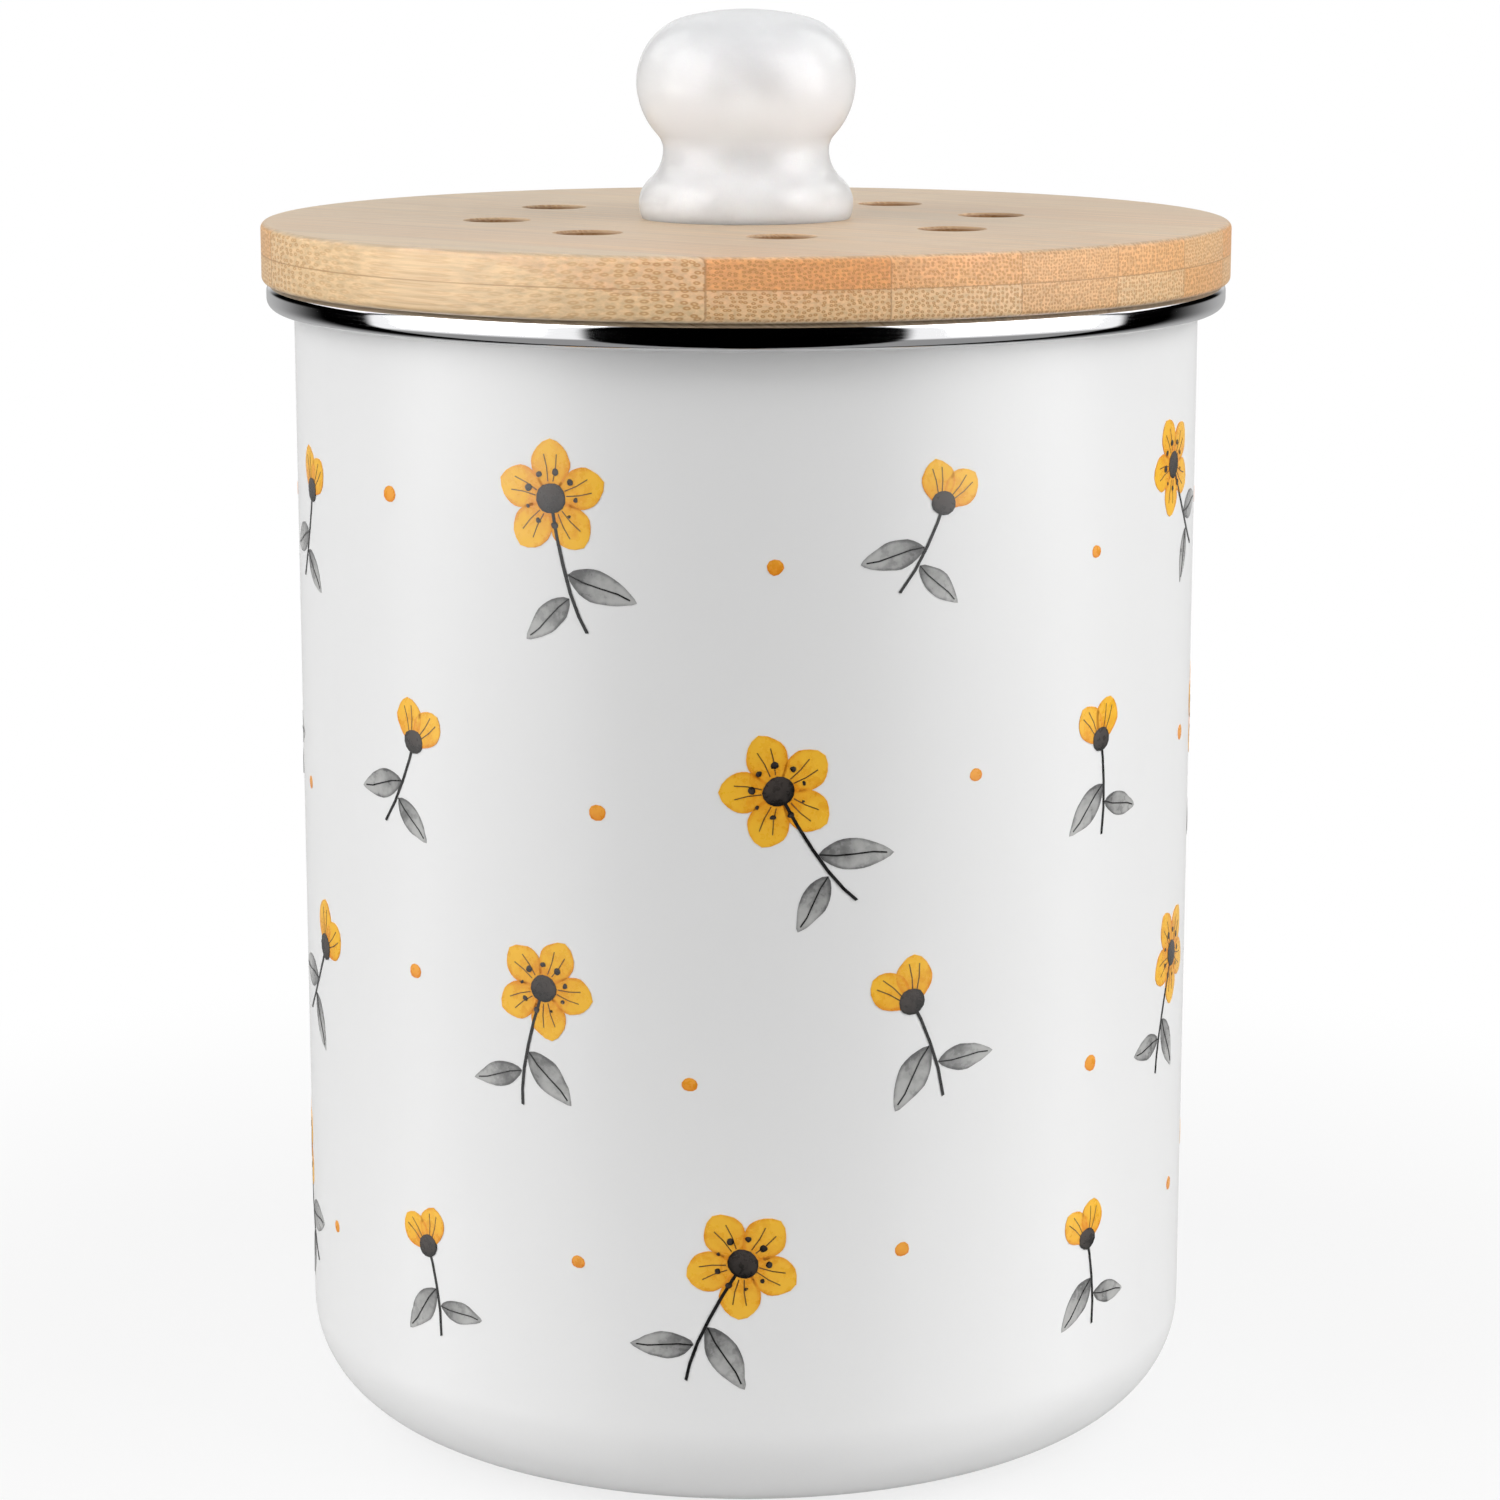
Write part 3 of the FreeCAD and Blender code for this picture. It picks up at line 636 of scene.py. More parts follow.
def facing(tree, axis, limits):
    """How squarely a surface faces along an axis, from either side: 0 below the limits and 1 above."""
    normal = node(tree, "TexCoord").outputs["Normal"]
    along = node(tree, "VectorMath", {0: normal, 1: axis}, operation="DOT_PRODUCT").outputs["Value"]
    return ramp(tree, calc(tree, "ABSOLUTE", along), *limits)


def glue_lines(tree, grain):
    """Thin lines where stave meets stave and ply meets ply."""
    parts = node(tree, "SeparateXYZ", {0: grain}).outputs
    half = STAVE_WIDTH / 2
    from_joint = calc(tree, "PINGPONG", calc(tree, "SUBTRACT", parts["X"], half), half)
    from_ply = calc(tree, "ABSOLUTE", calc(tree, "SUBTRACT", parts["Z"], ply_joint))
    return ramp(tree, calc(tree, "MINIMUM", from_joint, from_ply), *GLUE_EDGE, 0.0, GLUE_STRENGTH)


# %% Make the bamboo
PITH_PALE, PITH_DEEP = (0.72, 0.526, 0.308, 1), (0.72, 0.322, 0.104, 1)
BUNDLE = (0.46, 0.22, 0.07, 1)
GLUE = (0.34, 0.17, 0.07, 1)
# The face's grey mix is painted sheen, for the white surround that the face reflects at a low angle; its
# lowered tone makes it evener and also paler, as part of that painted sheen.
PAINTED_SHEEN_GREY, PAINTED_SHEEN_SHARE, FACE_EVENNESS_AND_SHEEN = (0.38, 0.39, 0.385, 1), 0.25, 0.6
# Painted shade: a dark brown laid on the vent walls, for the shadow that falls inside the holes.
VENT_PAINTED_SHADE, VENT_SHADE_SHARE = (0.16, 0.065, 0.02, 1), 0.55
STREAK_STRETCH, STREAK_SPAN = (1.6, 0.02, 1.6), (0.25, 0.75)
STREAK_SHADES, FACE_SHADES = (0.80, 1.12), (0.88, 1.04)
RING_CONTRAST = 0.22, 0.92
OIL_IOR, OIL_SPAN, OIL_GLOSS = 1.45, (0.2, 0.8), (0.32, 0.46)
RING_DEPTH, RELIEF = 0.8, 0.05


def bamboo_finish(name):
    """Oiled bamboo whose grain lies along the staves."""
    material, tree, shader, place = new_finish(name, IOR=OIL_IOR)
    grain = node(tree, "Mapping", {"Vector": place, "Rotation": (0, 0, -GRAIN_TURN)}).outputs[0]
    drawn_out = vector(tree, "MULTIPLY", grain, STREAK_STRETCH)
    streaks = noise(tree, drawn_out, 1.0, detail=4.0, roughness=0.65)
    face = facing(tree, (0, 0, 1), FACE_LIMITS)
    end_grain = facing(tree, along_grain, END_LIMITS)

    # On the face the stave's tone is lowered: evener, and paler as part of the painted sheen.
    tone = calc(tree, "MULTIPLY", noted(tree, "tone"), calc(tree, "MULTIPLY_ADD", face, -FACE_EVENNESS_AND_SHEEN, 1.0))
    shade = ramp(tree, streaks, *STREAK_SPAN, *STREAK_SHADES)
    colour = mix(tree, 1.0, mix(tree, tone, PITH_PALE, PITH_DEEP), grey(tree, shade), "MULTIPLY")
    contrast = ramp(tree, end_grain, 0.0, 1.0, *RING_CONTRAST)
    ring = calc(tree, "MULTIPLY", bundle_rings(tree, grain), contrast, use_clamp=True)
    colour = mix(tree, ring, colour, BUNDLE)

    # Painted sheen: the face is mixed a little towards grey, for the white surround it reflects at a low
    # angle.
    colour = mix(tree, calc(tree, "MULTIPLY", face, PAINTED_SHEEN_SHARE), colour, PAINTED_SHEEN_GREY)
    shade = ramp(tree, streaks, *STREAK_SPAN, *FACE_SHADES)
    colour = mix(tree, face, colour, mix(tree, 1.0, colour, grey(tree, shade), "MULTIPLY"))
    # Painted shade: the vent walls are darkened towards dark brown.
    colour = mix(tree, calc(tree, "MULTIPLY", noted(tree, "vent_shade"), VENT_SHADE_SHARE), colour, VENT_PAINTED_SHADE)
    tree.links.new(mix(tree, glue_lines(tree, grain), colour, GLUE), shader.inputs["Base Color"])
    tree.links.new(ramp(tree, streaks, *OIL_SPAN, *OIL_GLOSS), shader.inputs["Roughness"])
    bump(tree, shader, calc(tree, "MULTIPLY_ADD", ring, -RING_DEPTH, streaks), RELIEF)
    return material


bamboo = bamboo_finish("bamboo")
print(bamboo.name)

# %% Write numbers on points
def note(piece, name, values):
    """Writes a number on each point of a piece, for its finish to read."""
    field = piece.data.attributes.new(name, "FLOAT", "POINT")
    field.data.foreach_set("value", values)


def carry(piece, name, value):
    """Writes one number on every point of a piece, for its finish to read."""
    note(piece, name, [value] * len(piece.data.vertices))


# %% Give each stave its tone
TONES = {
    "upper": [0.12, 0.90, 0.60, 0.50, 0.55, 0.30, 0.70, 0.35, 0.50],
    "lower": [0.10, 0.22, 0.18, 0.40, 0.15, 0.55, 0.25, 0.60, 0.20],
}
CLOSENESS = {
    "upper": [0.95, 1.45, 1.35, 1.60, 1.20, 1.40, 1.10, 1.50, 1.25],
    "lower": [0.90, 1.25, 1.20, 1.45, 1.30, 1.15, 1.40, 1.20, 1.35],
}
PLUG_TONE, PLUG_CLOSENESS = 0.25, 1.2
TONE_FADE = 0.7


def tone_along(point, tone):
    """A stave's tone at a point: it pales from the stave's front end to its far end."""
    along = along_grain.dot(point) / (lid_radius * MM)
    return tone * (1 - TONE_FADE * (along + 1) / 2)


def in_vent(point):
    """1 on the wall of a vent, where the finish paints shade, and 0 elsewhere."""
    nearest = min((point.xy - place.xy).length for place in vent_places)
    return float(nearest < (VENT_RADIUS + VENT_CHAMFER / 2) * MM)


for (side, place), stave in staves.items():
    index = STAVES.index(place)
    note(stave, "tone", [tone_along(vertex.co, TONES[side][index]) for vertex in stave.data.vertices])
    carry(stave, "closeness", CLOSENESS[side][index])
    # Each stave notes which points lie on a vent wall, where the finish paints shade.
    note(stave, "vent_shade", [in_vent(vertex.co) for vertex in stave.data.vertices])
carry(plug_turned, "tone", PLUG_TONE)
carry(plug_turned, "closeness", PLUG_CLOSENESS)
print("toned", len(staves), "staves and the plug ring")

# %% [markdown]
# ## Silicone and charcoal
# The seal is translucent silicone, soft and a little dusty, so it is rough and lets some light into itself.
# The filter is pressed charcoal fibre: nearly black, matt, with a tangled surface that catches the light.

# %% Make the soft finishes
SILICONE_HAZE = {"scale": 0.4, "detail": 3.0}
SILICONE_MILKS = (0.72, 0.73, 0.73, 1), (0.62, 0.64, 0.65, 1)
CHARCOAL_FIBRES = {"scale": 1.6, "detail": 6.0, "roughness": 0.7}
CHARCOAL_BLACKS = (0.012, 0.012, 0.013, 1), (0.05, 0.05, 0.052, 1)


def soft_finish(name, pattern, colours, dullness, depth, **constants):
    """A matt finish whose colour, roughness and relief follow one noise pattern."""
    material, tree, shader, place = new_finish(name, **constants)
    cloud = noise(tree, place, **pattern)
    tree.links.new(mix(tree, cloud, *colours), shader.inputs["Base Color"])
    tree.links.new(ramp(tree, cloud, *NOISE_SPAN, *dullness), shader.inputs["Roughness"])
    bump(tree, shader, cloud, depth)
    return material


silicone = soft_finish("silicone", SILICONE_HAZE, SILICONE_MILKS, dullness=(0.38, 0.52), depth=0.02,
                       IOR=1.41, Subsurface_Weight=0.4, Subsurface_Scale=0.002)
charcoal = soft_finish("charcoal", CHARCOAL_FIBRES, CHARCOAL_BLACKS, dullness=(0.8, 0.95), depth=0.35,
                       Sheen_Weight=0.25, Sheen_Roughness=0.6)
print(silicone.name, charcoal.name)

# %% [markdown]
# ## The print
# The wall carries a scattered print in amber, grey and black, fired onto the enamel. Here it is a generic
# one: small flower sprigs and buds with loose dots between them. It could be an image, but drawn shapes stay
# sharp at any distance. Each shape is drawn flat in front of the wall and pressed onto it with Shrinkwrap,
# so it follows the curve, and Solidify makes it a closed film. One petal and one leaf are drawn, then copied
# into a sprig and a bud, and these are copied round the wall, turned and scaled a little.

# %% Draw flat shapes
POOLED_EDGE = 0.4


def petal_outline(length, width, belly, roundness, steps=12):
    """Outline of a petal or leaf that stands on the origin: belly moves its widest place outwards."""
    side = []
    for step in range(1, steps):
        along = step / steps
        side.append((width / 2 * math.sin(math.pi * along ** belly) ** roundness, along * length))
    return [(0, 0), *side, (0, length), *((-x, z) for x, z in reversed(side))]


def blob_outline(width, height, sides):
    """Outline of an oval round the origin."""
    turns = [2 * math.pi * side / sides for side in range(sides)]
    return [(width / 2 * math.cos(turn), height / 2 * math.sin(turn)) for turn in turns]


def flat_shape(name, outline):
    """A filled flat shape with a narrow border, which notes where its border and its far end are."""
    corners = [Vector((x, 0, z)) * MM for x, z in outline]
    shape = draw(name, [*corners, corners[0]])
    bpy.ops.mesh.edge_face_add()
    bpy.ops.mesh.inset(thickness=POOLED_EDGE * MM)
    bpy.ops.mesh.poke()
    bpy.ops.object.mode_set(mode="OBJECT")
    mesh = bmesh.new()
    mesh.from_mesh(shape.data)
    note(shape, "border", [float(vertex.is_boundary) for vertex in mesh.verts])
    mesh.free()
    heights = [vertex.co.z for vertex in shape.data.vertices]
    low, high = min(heights), max(heights)
    note(shape, "wash", [(height - low) / (high - low) for height in heights])
    return shape


# %% Place copies and draw lines
def place_flat(piece, x, z, turn=0.0, size=1.0):
    """Scales, turns and moves a flat shape within the drawing, in millimetres and degrees."""
    moved = Matrix.Translation((x * MM, 0, z * MM)) @ Matrix.Rotation(math.radians(turn), 4, "Y")
    move_mesh(piece, moved @ Matrix.Scale(size, 4))
    return piece


def copies_of(piece, name, places):
    """Copies a flat shape to several places, given as x, z, turn and size, and joins them."""
    return join([place_flat(copy_of(piece, name), *spot) for spot in places], name)


def line(name, points, width):
    """A brush line through points, drawn once and widened by extruding it sideways."""
    corners = [Vector((x - width / 2, 0, z)) * MM for x, z in points]
    stroke = draw(name, corners)
    bpy.ops.mesh.extrude_region_move(TRANSFORM_OT_translate={"value": (width * MM, 0, 0)})
    bpy.ops.object.mode_set(mode="OBJECT")
    return stroke


# %% Draw the sprig
petal = flat_shape("petal", petal_outline(length=9.0, width=6.4, belly=1.25, roundness=0.75))
leaf = flat_shape("leaf", petal_outline(length=12.0, width=5.0, belly=0.85, roundness=1.0))
vein = line("vein", [(0.0, 0.5), (0.2, 3.0), (0.0, 6.0), (-0.2, 8.5), (0.0, 10.5)], width=0.22)
hair = line("hair", [(0.0, 2.5), (0.15, 4.5), (0.0, 6.5)], width=0.16)
speck = flat_shape("speck", blob_outline(width=1.3, height=1.2, sides=10))

PETALS, FLOWER_TURN = 5, 8
FLOWER_TURNS = [FLOWER_TURN + number * 360 / PETALS for number in range(PETALS)]
LEAF_SPOTS = [(0.5, -11, 118, 1.0), (0.9, -14.5, -124, 0.85)]
STEM = [(0.0, -1.5), (0.1, -6), (0.4, -10), (0.9, -14), (1.7, -17.5), (2.6, -20)]
HAIR_LEAN = 9
SPECK_CIRCLE, SPECK_TURNS = 3.9, range(20, 380, 40)


def speck_spot(turn):
    """Place, turn and size of a speck on the ring round a flower's centre."""
    angle = math.radians(turn)
    return SPECK_CIRCLE * math.sin(angle), SPECK_CIRCLE * math.cos(angle), turn, 0.5 + 0.1 * (turn % 7)


hair_turns = [turn + lean for turn in FLOWER_TURNS for lean in (-HAIR_LEAN, HAIR_LEAN)]
sprig = {
    "petals": copies_of(petal, "sprig_petals", [(0, 0, turn, 1.0) for turn in FLOWER_TURNS]),
    "leaves": copies_of(leaf, "sprig_leaves", LEAF_SPOTS),
    "stems": join([line("sprig_stem", STEM, width=0.5), copies_of(vein, "sprig_veins", LEAF_SPOTS)],
                  "sprig_stems"),
    "hairs": copies_of(hair, "sprig_hairs", [(0, 0, turn, 1.0) for turn in hair_turns]),
    "centres": join([
        flat_shape("sprig_centre", blob_outline(width=5.0, height=4.7, sides=16)),
        copies_of(speck, "sprig_specks", [speck_spot(turn) for turn in SPECK_TURNS]),
    ], "sprig_centres"),
}

# %% Draw the bud and the dot
BUD_FOOT, BUD_PETAL_LEAN, BUD_PETAL_SIZE = -1, 27, 0.9
BUD_LEAF_SPOTS = [(-0.4, -7, -122, 0.95), (-0.9, -10, 114, 0.8)]
BUD_STEM = [(0.0, 0.0), (0.0, -3), (-0.4, -7), (-1.1, -11), (-2.3, -15)]
BUD_HAIR_TURNS = -34, -20, 20, 34

bud_leans = -BUD_PETAL_LEAN, BUD_PETAL_LEAN
bud = {
    "petals": copies_of(petal, "bud_petals", [(0, BUD_FOOT, lean, BUD_PETAL_SIZE) for lean in bud_leans]),
    "leaves": copies_of(leaf, "bud_leaves", BUD_LEAF_SPOTS),
    "stems": join([line("bud_stem", BUD_STEM, width=0.45), copies_of(vein, "bud_veins", BUD_LEAF_SPOTS)],
                  "bud_stems"),
    "hairs": copies_of(hair, "bud_hairs", [(0, BUD_FOOT, turn, 1.0) for turn in BUD_HAIR_TURNS]),
    "centres": flat_shape("bud_cup", blob_outline(width=4.4, height=4.0, sides=14)),
}
dot = flat_shape("dot", blob_outline(width=2.7, height=2.5, sides=11))
for part in (petal, leaf, vein, hair, speck):
    bpy.data.objects.remove(part)
print("sprig and bud drawn")

# %% Press a shape onto the wall
FILM = {"leaves": 0.05, "petals": 0.08, "hairs": 0.10, "stems": 0.11, "centres": 0.13, "dots": 0.05}
DRAW_AT = -0.08
WOBBLE = 0.25
DRAW_SEED, WOBBLE_SEEDS = 11, 1000

draws = random.Random(DRAW_SEED)
printed = {layer: [] for layer in FILM}


def press(flat, layer, azimuth, height, turn, size):
    """Copies a flat shape to a place on the wall: an azimuth in degrees from the front and a height."""
    piece = place_flat(copy_of(flat, "print_" + layer), 0, height, turn, size)
    use(piece)
    bpy.ops.object.mode_set(mode="EDIT")
    bpy.ops.mesh.select_all(action="SELECT")
    if layer not in ("stems", "hairs"):
        bpy.ops.transform.vertex_random(offset=WOBBLE * MM, seed=draws.randrange(WOBBLE_SEEDS))
        bpy.ops.mesh.vertices_smooth(factor=0.5)
    bpy.ops.transform.resize(value=(1, 0, 1))
    bpy.ops.transform.translate(value=(0, DRAW_AT, 0))
    bpy.ops.object.mode_set(mode="OBJECT")
    wrap = piece.modifiers.new("wrap", "SHRINKWRAP")
    wrap.target = pot_shell
    wrap.wrap_method = "PROJECT"
    wrap.use_project_y = True
    wrap.use_positive_direction = True
    bpy.ops.object.modifier_apply(modifier=wrap.name)
    move_mesh(piece, Matrix.Rotation(math.radians(azimuth), 4, "Z"))
    printed[layer].append(piece)


# %% Scatter the print
ROWS = [38, 76, 114, 150]
COLUMNS = 8
AROUND, LIFT, LEAN, MOTIF_SIZES = 4, 4, 38, (0.92, 1.12)
DOT_AROUND, DOT_LIFT, DOT_SIZES = 5, 9, (0.85, 1.2)

for row, height in enumerate(ROWS):
    for column in range(COLUMNS):
        azimuth = (column + 0.5 * (row % 2)) * 360 / COLUMNS + draws.uniform(-AROUND, AROUND)
        lifted = height + draws.uniform(-LIFT, LIFT) + LIFT
        spot = (azimuth, lifted, draws.uniform(-LEAN, LEAN), draws.uniform(*MOTIF_SIZES))
        for layer, flat in (bud if (row + column) % 2 else sprig).items():
            press(flat, layer, *spot)
        beside = azimuth + 180 / COLUMNS + draws.uniform(-DOT_AROUND, DOT_AROUND)
        press(dot, "dots", beside, height + draws.uniform(-DOT_LIFT, DOT_LIFT), 0, draws.uniform(*DOT_SIZES))

print({layer: len(pieces) for layer, pieces in printed.items()})

# %% Make each layer a film
prints = {}
for layer, pieces in printed.items():
    prints[layer] = join(pieces, "print_" + layer)
    film = prints[layer].modifiers.new("film", "SOLIDIFY")
    film.thickness = 2 * FILM[layer] * MM
    film.offset = 0
    bpy.ops.object.modifier_apply(modifier=film.name)
    tidy_mesh(prints[layer])
    print(f"print_{layer}: {len(prints[layer].data.polygons)} faces")
for flat in [*sprig.values(), *bud.values(), dot]:
    bpy.data.objects.remove(flat)


# %% Make the print's colours
FAR_END_PALENESS, BORDER_DEPTH = 0.6, 0.3
WASH_SPAN, WASH_GLOSS = (0.35, 1.05), (0.24, 0.34)


def watercolour(name, deep, pale, scale):
    """A fired wash of colour: deep where it pooled at a stroke's foot and border, and pale between."""
    material, tree, shader, place = new_finish(name, IOR=GLASS_IOR)
    blotch = noise(tree, place, scale, detail=4.0, roughness=0.6)
    share = calc(tree, "MULTIPLY_ADD", noted(tree, "wash"), FAR_END_PALENESS, blotch)
    share = calc(tree, "MULTIPLY_ADD", noted(tree, "border"), -BORDER_DEPTH, share)
    tree.links.new(mix(tree, ramp(tree, share, *WASH_SPAN), deep, pale), shader.inputs["Base Color"])
    tree.links.new(ramp(tree, blotch, *NOISE_SPAN, *WASH_GLOSS), shader.inputs["Roughness"])
    return material


PRINT_COLOURS = {
    "petals": watercolour("amber_wash", (0.78, 0.27, 0.008, 1), (0.95, 0.52, 0.035, 1), 0.5),
    "leaves": watercolour("grey_wash", (0.13, 0.13, 0.13, 1), (0.47, 0.47, 0.46, 1), 0.35),
    "hairs": watercolour("fine_ink_line", (0.10, 0.05, 0.02, 1), (0.30, 0.15, 0.05, 1), 0.6),
    "stems": watercolour("ink_line", (0.010, 0.010, 0.010, 1), (0.035, 0.035, 0.035, 1), 0.6),
    "centres": watercolour("ink_wash", (0.012, 0.011, 0.010, 1), (0.06, 0.05, 0.045, 1), 0.9),
    "dots": watercolour("orange_wash", (0.78, 0.25, 0.010, 1), (0.90, 0.38, 0.035, 1), 0.7),
}
print("print colours:", [finish.name for finish in PRINT_COLOURS.values()])

# %% [markdown]
# ## Putting it together
# Each piece now gets its finish and the body that it moves with, and the CAD nodes that it stands for are
# hidden. The three small fixings under the knob stay as the CAD drew them, because their shape is already
# right, and only take a finish.

# %% Assign finishes and bodies
dressed = []


def dress(piece, finish, body, slot, *nodes):
    """Gives a piece its finish and its moving body, and hides the CAD nodes it stands for. The slot is not
    used.
    """
    piece.data.materials.clear()
    piece.data.materials.append(finish)
    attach(piece, body)
    if nodes:
        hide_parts(*nodes)
    dressed.append(piece)


dress(pot_shell, enamel, "pot", "enamel", "enamel_pot")
dress(rim_trim, rim_steel, "pot", "rim_steel", "rim_band")
dress(knob_turned, glaze, "lid", "knob_glaze", "knob")
dress(plug_turned, bamboo, "lid", "bamboo_plug", "plug_ring")
dress(seal_lips, silicone, "seal", "silicone", "lid_seal")
dress(filter_disc, charcoal, "filter", "charcoal", "charcoal_filter")
for (side, place), stave in staves.items():
    dress(stave, bamboo, "lid", f"bamboo_{side}", f"{side}_stave_{place}")
for layer, piece in prints.items():
    dress(piece, PRINT_COLOURS[layer], "pot", "enamel")
for fixing, metal in (("knob_insert", brass), ("knob_screw", zinc_steel), ("knob_washer", zinc_steel)):
    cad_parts[fixing].material_slots[0].material = metal
print("dressed", len(dressed), "pieces")

# %% [markdown]
# ## Floor and light
# The caddy stands in a plain studio: a pale floor that runs into a white surround, one tall soft box at each
# side, two small ones behind, one high in front that leaves a soft shadow under the rim, and a thin gridded
# strip that only reaches the lid. The two in front stay out of the reflections, so the steel rim shows a
# broad white patch to each side and black in the middle. The floor could be a shadow catcher, but that needs
# a second picture to be laid over. Here it shows mostly white to the camera, so it keeps the soft shadow at
# the pot's foot and melts into the surround further off.

# %% Lay the floor
FLOOR_SIZE = 6.0
PAPER_NEAR, PAPER_FAR = 0.15, 0.40
PAPER_TONE, ROOM_TONE = 0.70, 0.15
PAPER_ROUGHNESS = 0.9
SHADOW_SHARE, SHADOW_FADE = 0.20, 0.7

bpy.ops.object.select_all(action="DESELECT")
bpy.ops.mesh.primitive_grid_add(x_subdivisions=4, y_subdivisions=4, size=FLOOR_SIZE)
floor = bpy.context.object
floor.name = floor.data.name = "floor"
floor.visible_glossy = False
paper = bpy.data.materials.new("floor_paper")
paper.use_nodes = True
tree = paper.node_tree
shader = tree.nodes["Principled BSDF"]
shader.inputs["Roughness"].default_value = PAPER_ROUGHNESS
off_centre = node(tree, "VectorMath", {0: node(tree, "TexCoord").outputs["Object"]}, operation="LENGTH")
off_centre = off_centre.outputs["Value"]
tone = ramp(tree, off_centre, PAPER_NEAR, PAPER_FAR, PAPER_TONE, ROOM_TONE)
tree.links.new(grey(tree, tone), shader.inputs["Base Color"])
white = node(tree, "Emission", {"Color": (1, 1, 1, 1), "Strength": 1.0})
share = ramp(tree, off_centre, PAPER_NEAR * SHADOW_FADE, PAPER_FAR * SHADOW_FADE, 1 - SHADOW_SHARE, 1.0)
share = calc(tree, "MULTIPLY", node(tree, "LightPath").outputs["Is Camera Ray"], share)
shown = node(tree, "MixShader", {0: share, 1: shader.outputs[0], 2: white.outputs[0]})
tree.links.new(shown.outputs[0], tree.nodes["Material Output"].inputs["Surface"])
floor.data.materials.append(paper)
print("floor of", FLOOR_SIZE, "m")

# %% Set up the soft boxes
BOX_DISTANCE = 0.75
BOX_AIM, LID_AIM = Vector((0, 0, 0.12)), Vector((0, 0, 0.203))


def soft_box(name, azimuth, rise, width, height, power, aim=BOX_AIM, spread=180, mirrored=True):
    """A soft box at an azimuth from the front and a rise, in degrees. Spread narrows it, as a grid does."""
    turn, lift = math.radians(azimuth), math.radians(rise)
    outward = Vector((math.sin(turn) * math.cos(lift), -math.cos(turn) * math.cos(lift), math.sin(lift)))
    bpy.ops.object.light_add(type="AREA", location=aim + outward * BOX_DISTANCE)
    box = bpy.context.object
    box.name = "soft_box_" + name
    box.rotation_euler = outward.to_track_quat("Z", "Y").to_euler()
    box.visible_camera = False
    box.visible_glossy = mirrored
    box.data.shape = "RECTANGLE"
    box.data.size = width
    box.data.size_y = height
    box.data.spread = math.radians(spread)
    box.data.energy = power
    print(f"{box.name}: {power} W")


soft_box("left", azimuth=-66, rise=22, width=0.60, height=0.80, power=5.05)
soft_box("right", azimuth=66, rise=22, width=0.60, height=0.80, power=5.25)
soft_box("back_left", azimuth=-118, rise=40, width=0.45, height=0.45, power=0.9)
soft_box("back_right", azimuth=118, rise=40, width=0.45, height=0.45, power=1.0)
soft_box("front", azimuth=0, rise=60, width=0.50, height=0.35, power=1.1, mirrored=False)
soft_box("lid", azimuth=0, rise=0, width=0.40, height=0.01, power=0.019,
         aim=LID_AIM, spread=4.4, mirrored=False)

# %% Surround the studio
def past(tree, behind, start, end, low=0.0, high=1.0):
    """Rises from low to high between two angles from the front, in degrees."""
    limits = [-math.cos(math.radians(angle)) for angle in (start, end)]
    return ramp(tree, behind, *limits, low, high)


surround = bpy.data.worlds.new("surround")
bpy.context.scene.world = surround
surround.use_nodes = True
tree = surround.node_tree
heading = node(tree, "TexCoord").outputs["Generated"]
level = vector(tree, "NORMALIZE", vector(tree, "MULTIPLY", heading, (1, 1, 0)))
behind = node(tree, "SeparateXYZ", {0: level}).outputs["Y"]
rise = node(tree, "SeparateXYZ", {0: heading}).outputs["Z"]
print(surround.name)

# %% Hang what the steel reflects
CARD_FRONT, CARD_BACK, CARD_BRIGHTNESS = 38.0, 99.0, 1.2
CARD_SOFTNESS = 2.0
CARD_FOOT, CARD_FOOT_SHARE = (-0.46, -0.26), 0.3
HORIZON = -0.05, 0.05
BACK_FLOOR_START, BACK_FLOOR_END, BACK_FLOOR_MIRRORED = 118.0, 165.0, 0.50
BACKDROP_START, BACKDROP_END, BACKDROP_MIRRORED = 150.0, 174.0, 0.85

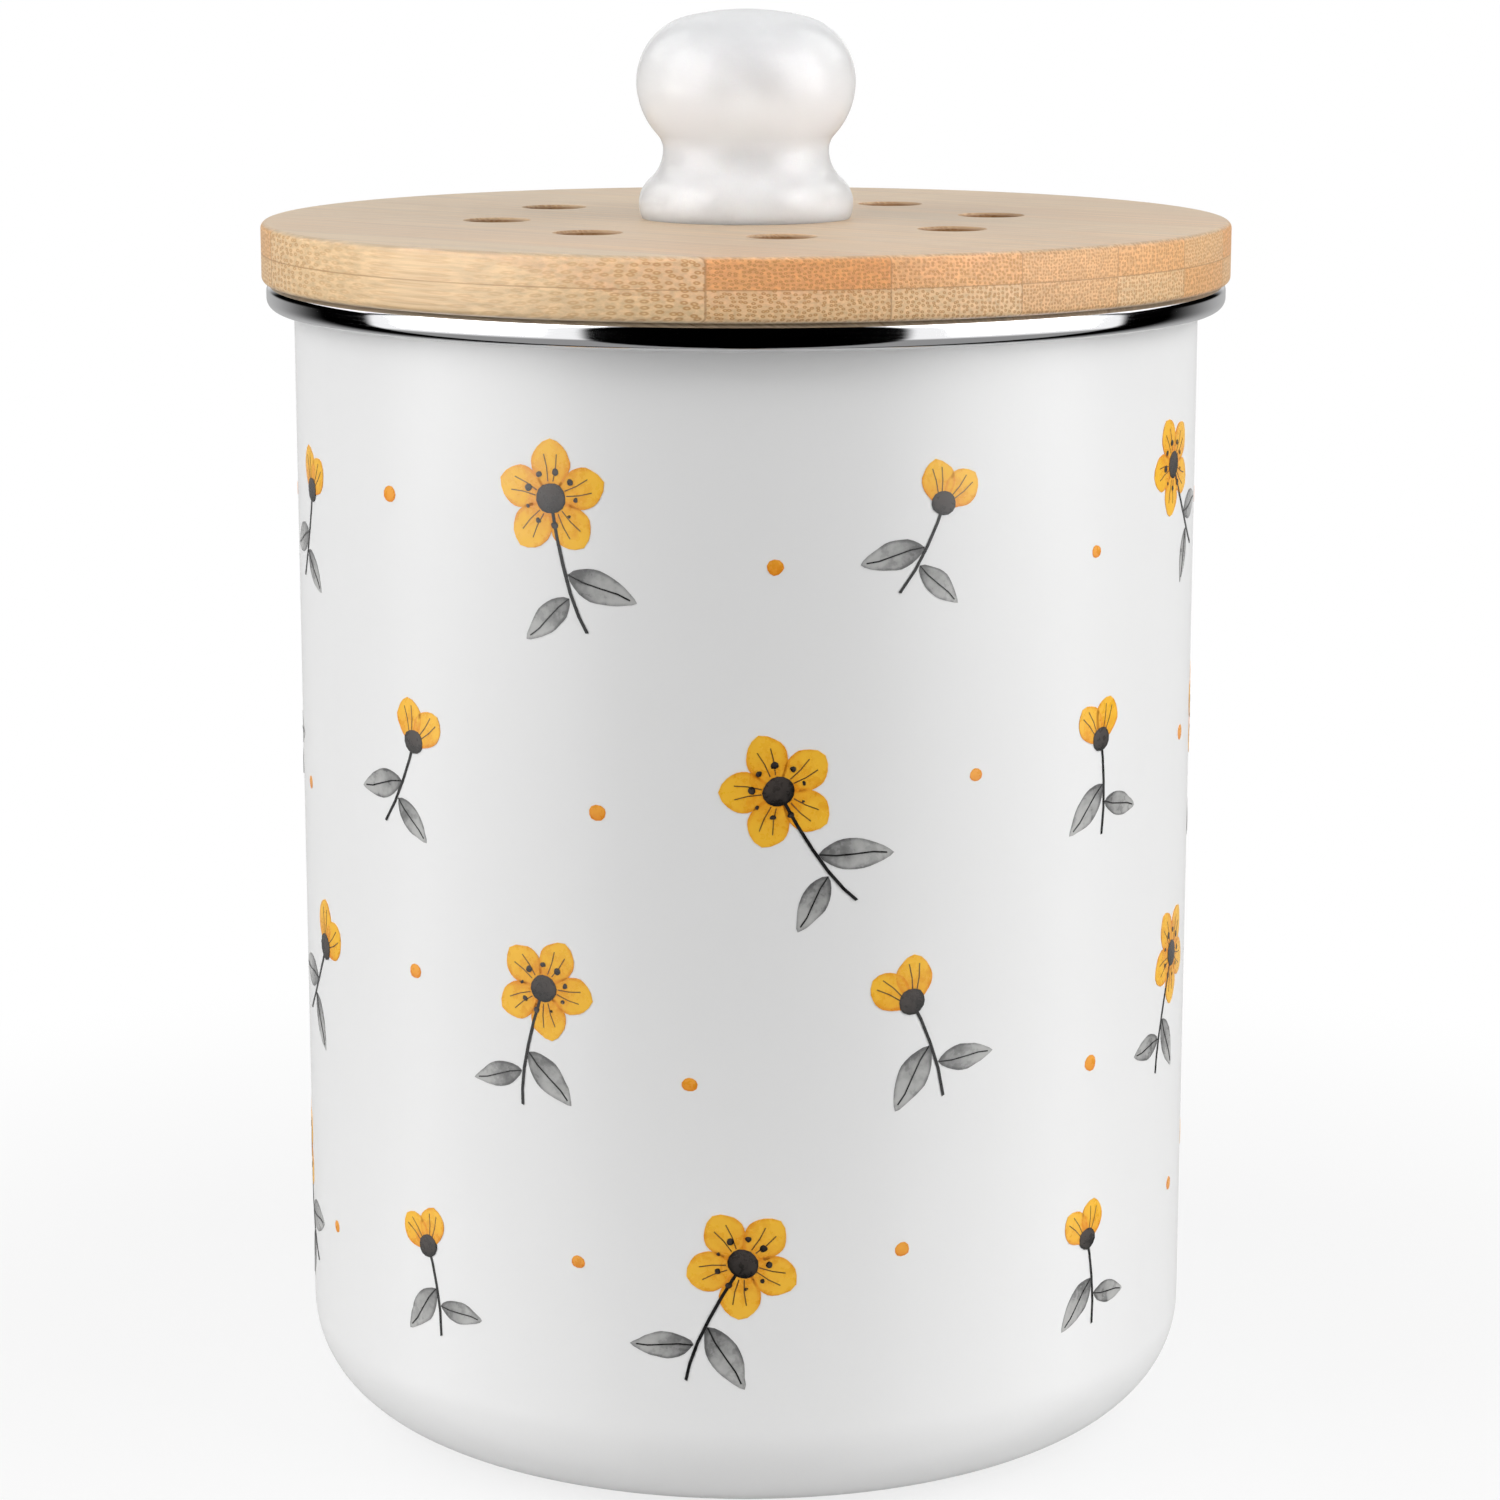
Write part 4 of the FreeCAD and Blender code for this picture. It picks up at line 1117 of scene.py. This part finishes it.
card = past(tree, behind, CARD_FRONT - CARD_SOFTNESS, CARD_FRONT + CARD_SOFTNESS, 0.0, CARD_BRIGHTNESS)
card_end = past(tree, behind, CARD_BACK - CARD_SOFTNESS, CARD_BACK + CARD_SOFTNESS, 1.0, 0.0)
card_foot = ramp(tree, rise, *CARD_FOOT, CARD_FOOT_SHARE, 1.0)
card = calc(tree, "MULTIPLY", calc(tree, "MULTIPLY", card, card_end), card_foot)
back_floor = past(tree, behind, BACK_FLOOR_START, BACK_FLOOR_END, 0.0, BACK_FLOOR_MIRRORED)
backdrop = past(tree, behind, BACKDROP_START, BACKDROP_END, 0.0, BACKDROP_MIRRORED)
backdrop = node(tree, "Mix", {0: ramp(tree, rise, *HORIZON), 2: back_floor, 3: backdrop}).outputs[0]
mirrored = calc(tree, "MAXIMUM", card, backdrop)
print("a card at each side and a backdrop")

# %% Choose what each kind of ray meets
FILL_START, FILL_END, BACKDROP_FILL = 80.0, 130.0, 0.35

fill = past(tree, behind, FILL_START, FILL_END, 0.0, BACKDROP_FILL)
path = node(tree, "LightPath").outputs
strength = node(tree, "Mix", {0: path["Is Glossy Ray"], 2: fill, 3: mirrored}).outputs[0]
seen = calc(tree, "MAXIMUM", path["Is Camera Ray"], path["Is Transmission Ray"])
strength = calc(tree, "MAXIMUM", strength, seen)
tree.links.new(strength, tree.nodes["Background"].inputs["Strength"])
tree.nodes["Background"].inputs["Color"].default_value = (1, 1, 1, 1)
print("white to the camera, and a fill from behind")

# %% [markdown]
# ## Camera
# The picture is taken from a little above the lid with a long lens, so the wall's sides run nearly straight
# down and the board shows as a thin ellipse. The lens and the place were worked out from the widths and
# heights of the rim, the board and the base in the frame.

# %% Set the camera
CAMERA_PLACE = (0.0, -0.65666, 0.24022)
CAMERA_DIP = 0.2012
LENS = 98.2
SENSOR = 36.0
FRAME_PIXELS = 1500
AXIS_PIXELS_LEFT = 4

bpy.ops.object.camera_add(location=CAMERA_PLACE, rotation=(math.pi / 2 - CAMERA_DIP, 0, 0))
camera = bpy.context.object
camera.data.sensor_width = SENSOR
camera.data.lens = LENS
camera.data.shift_x = AXIS_PIXELS_LEFT / FRAME_PIXELS
bpy.context.scene.camera = camera
bpy.context.scene.view_settings.view_transform = "Standard"
print("camera at", CAMERA_PLACE, "with a lens of", LENS, "mm")
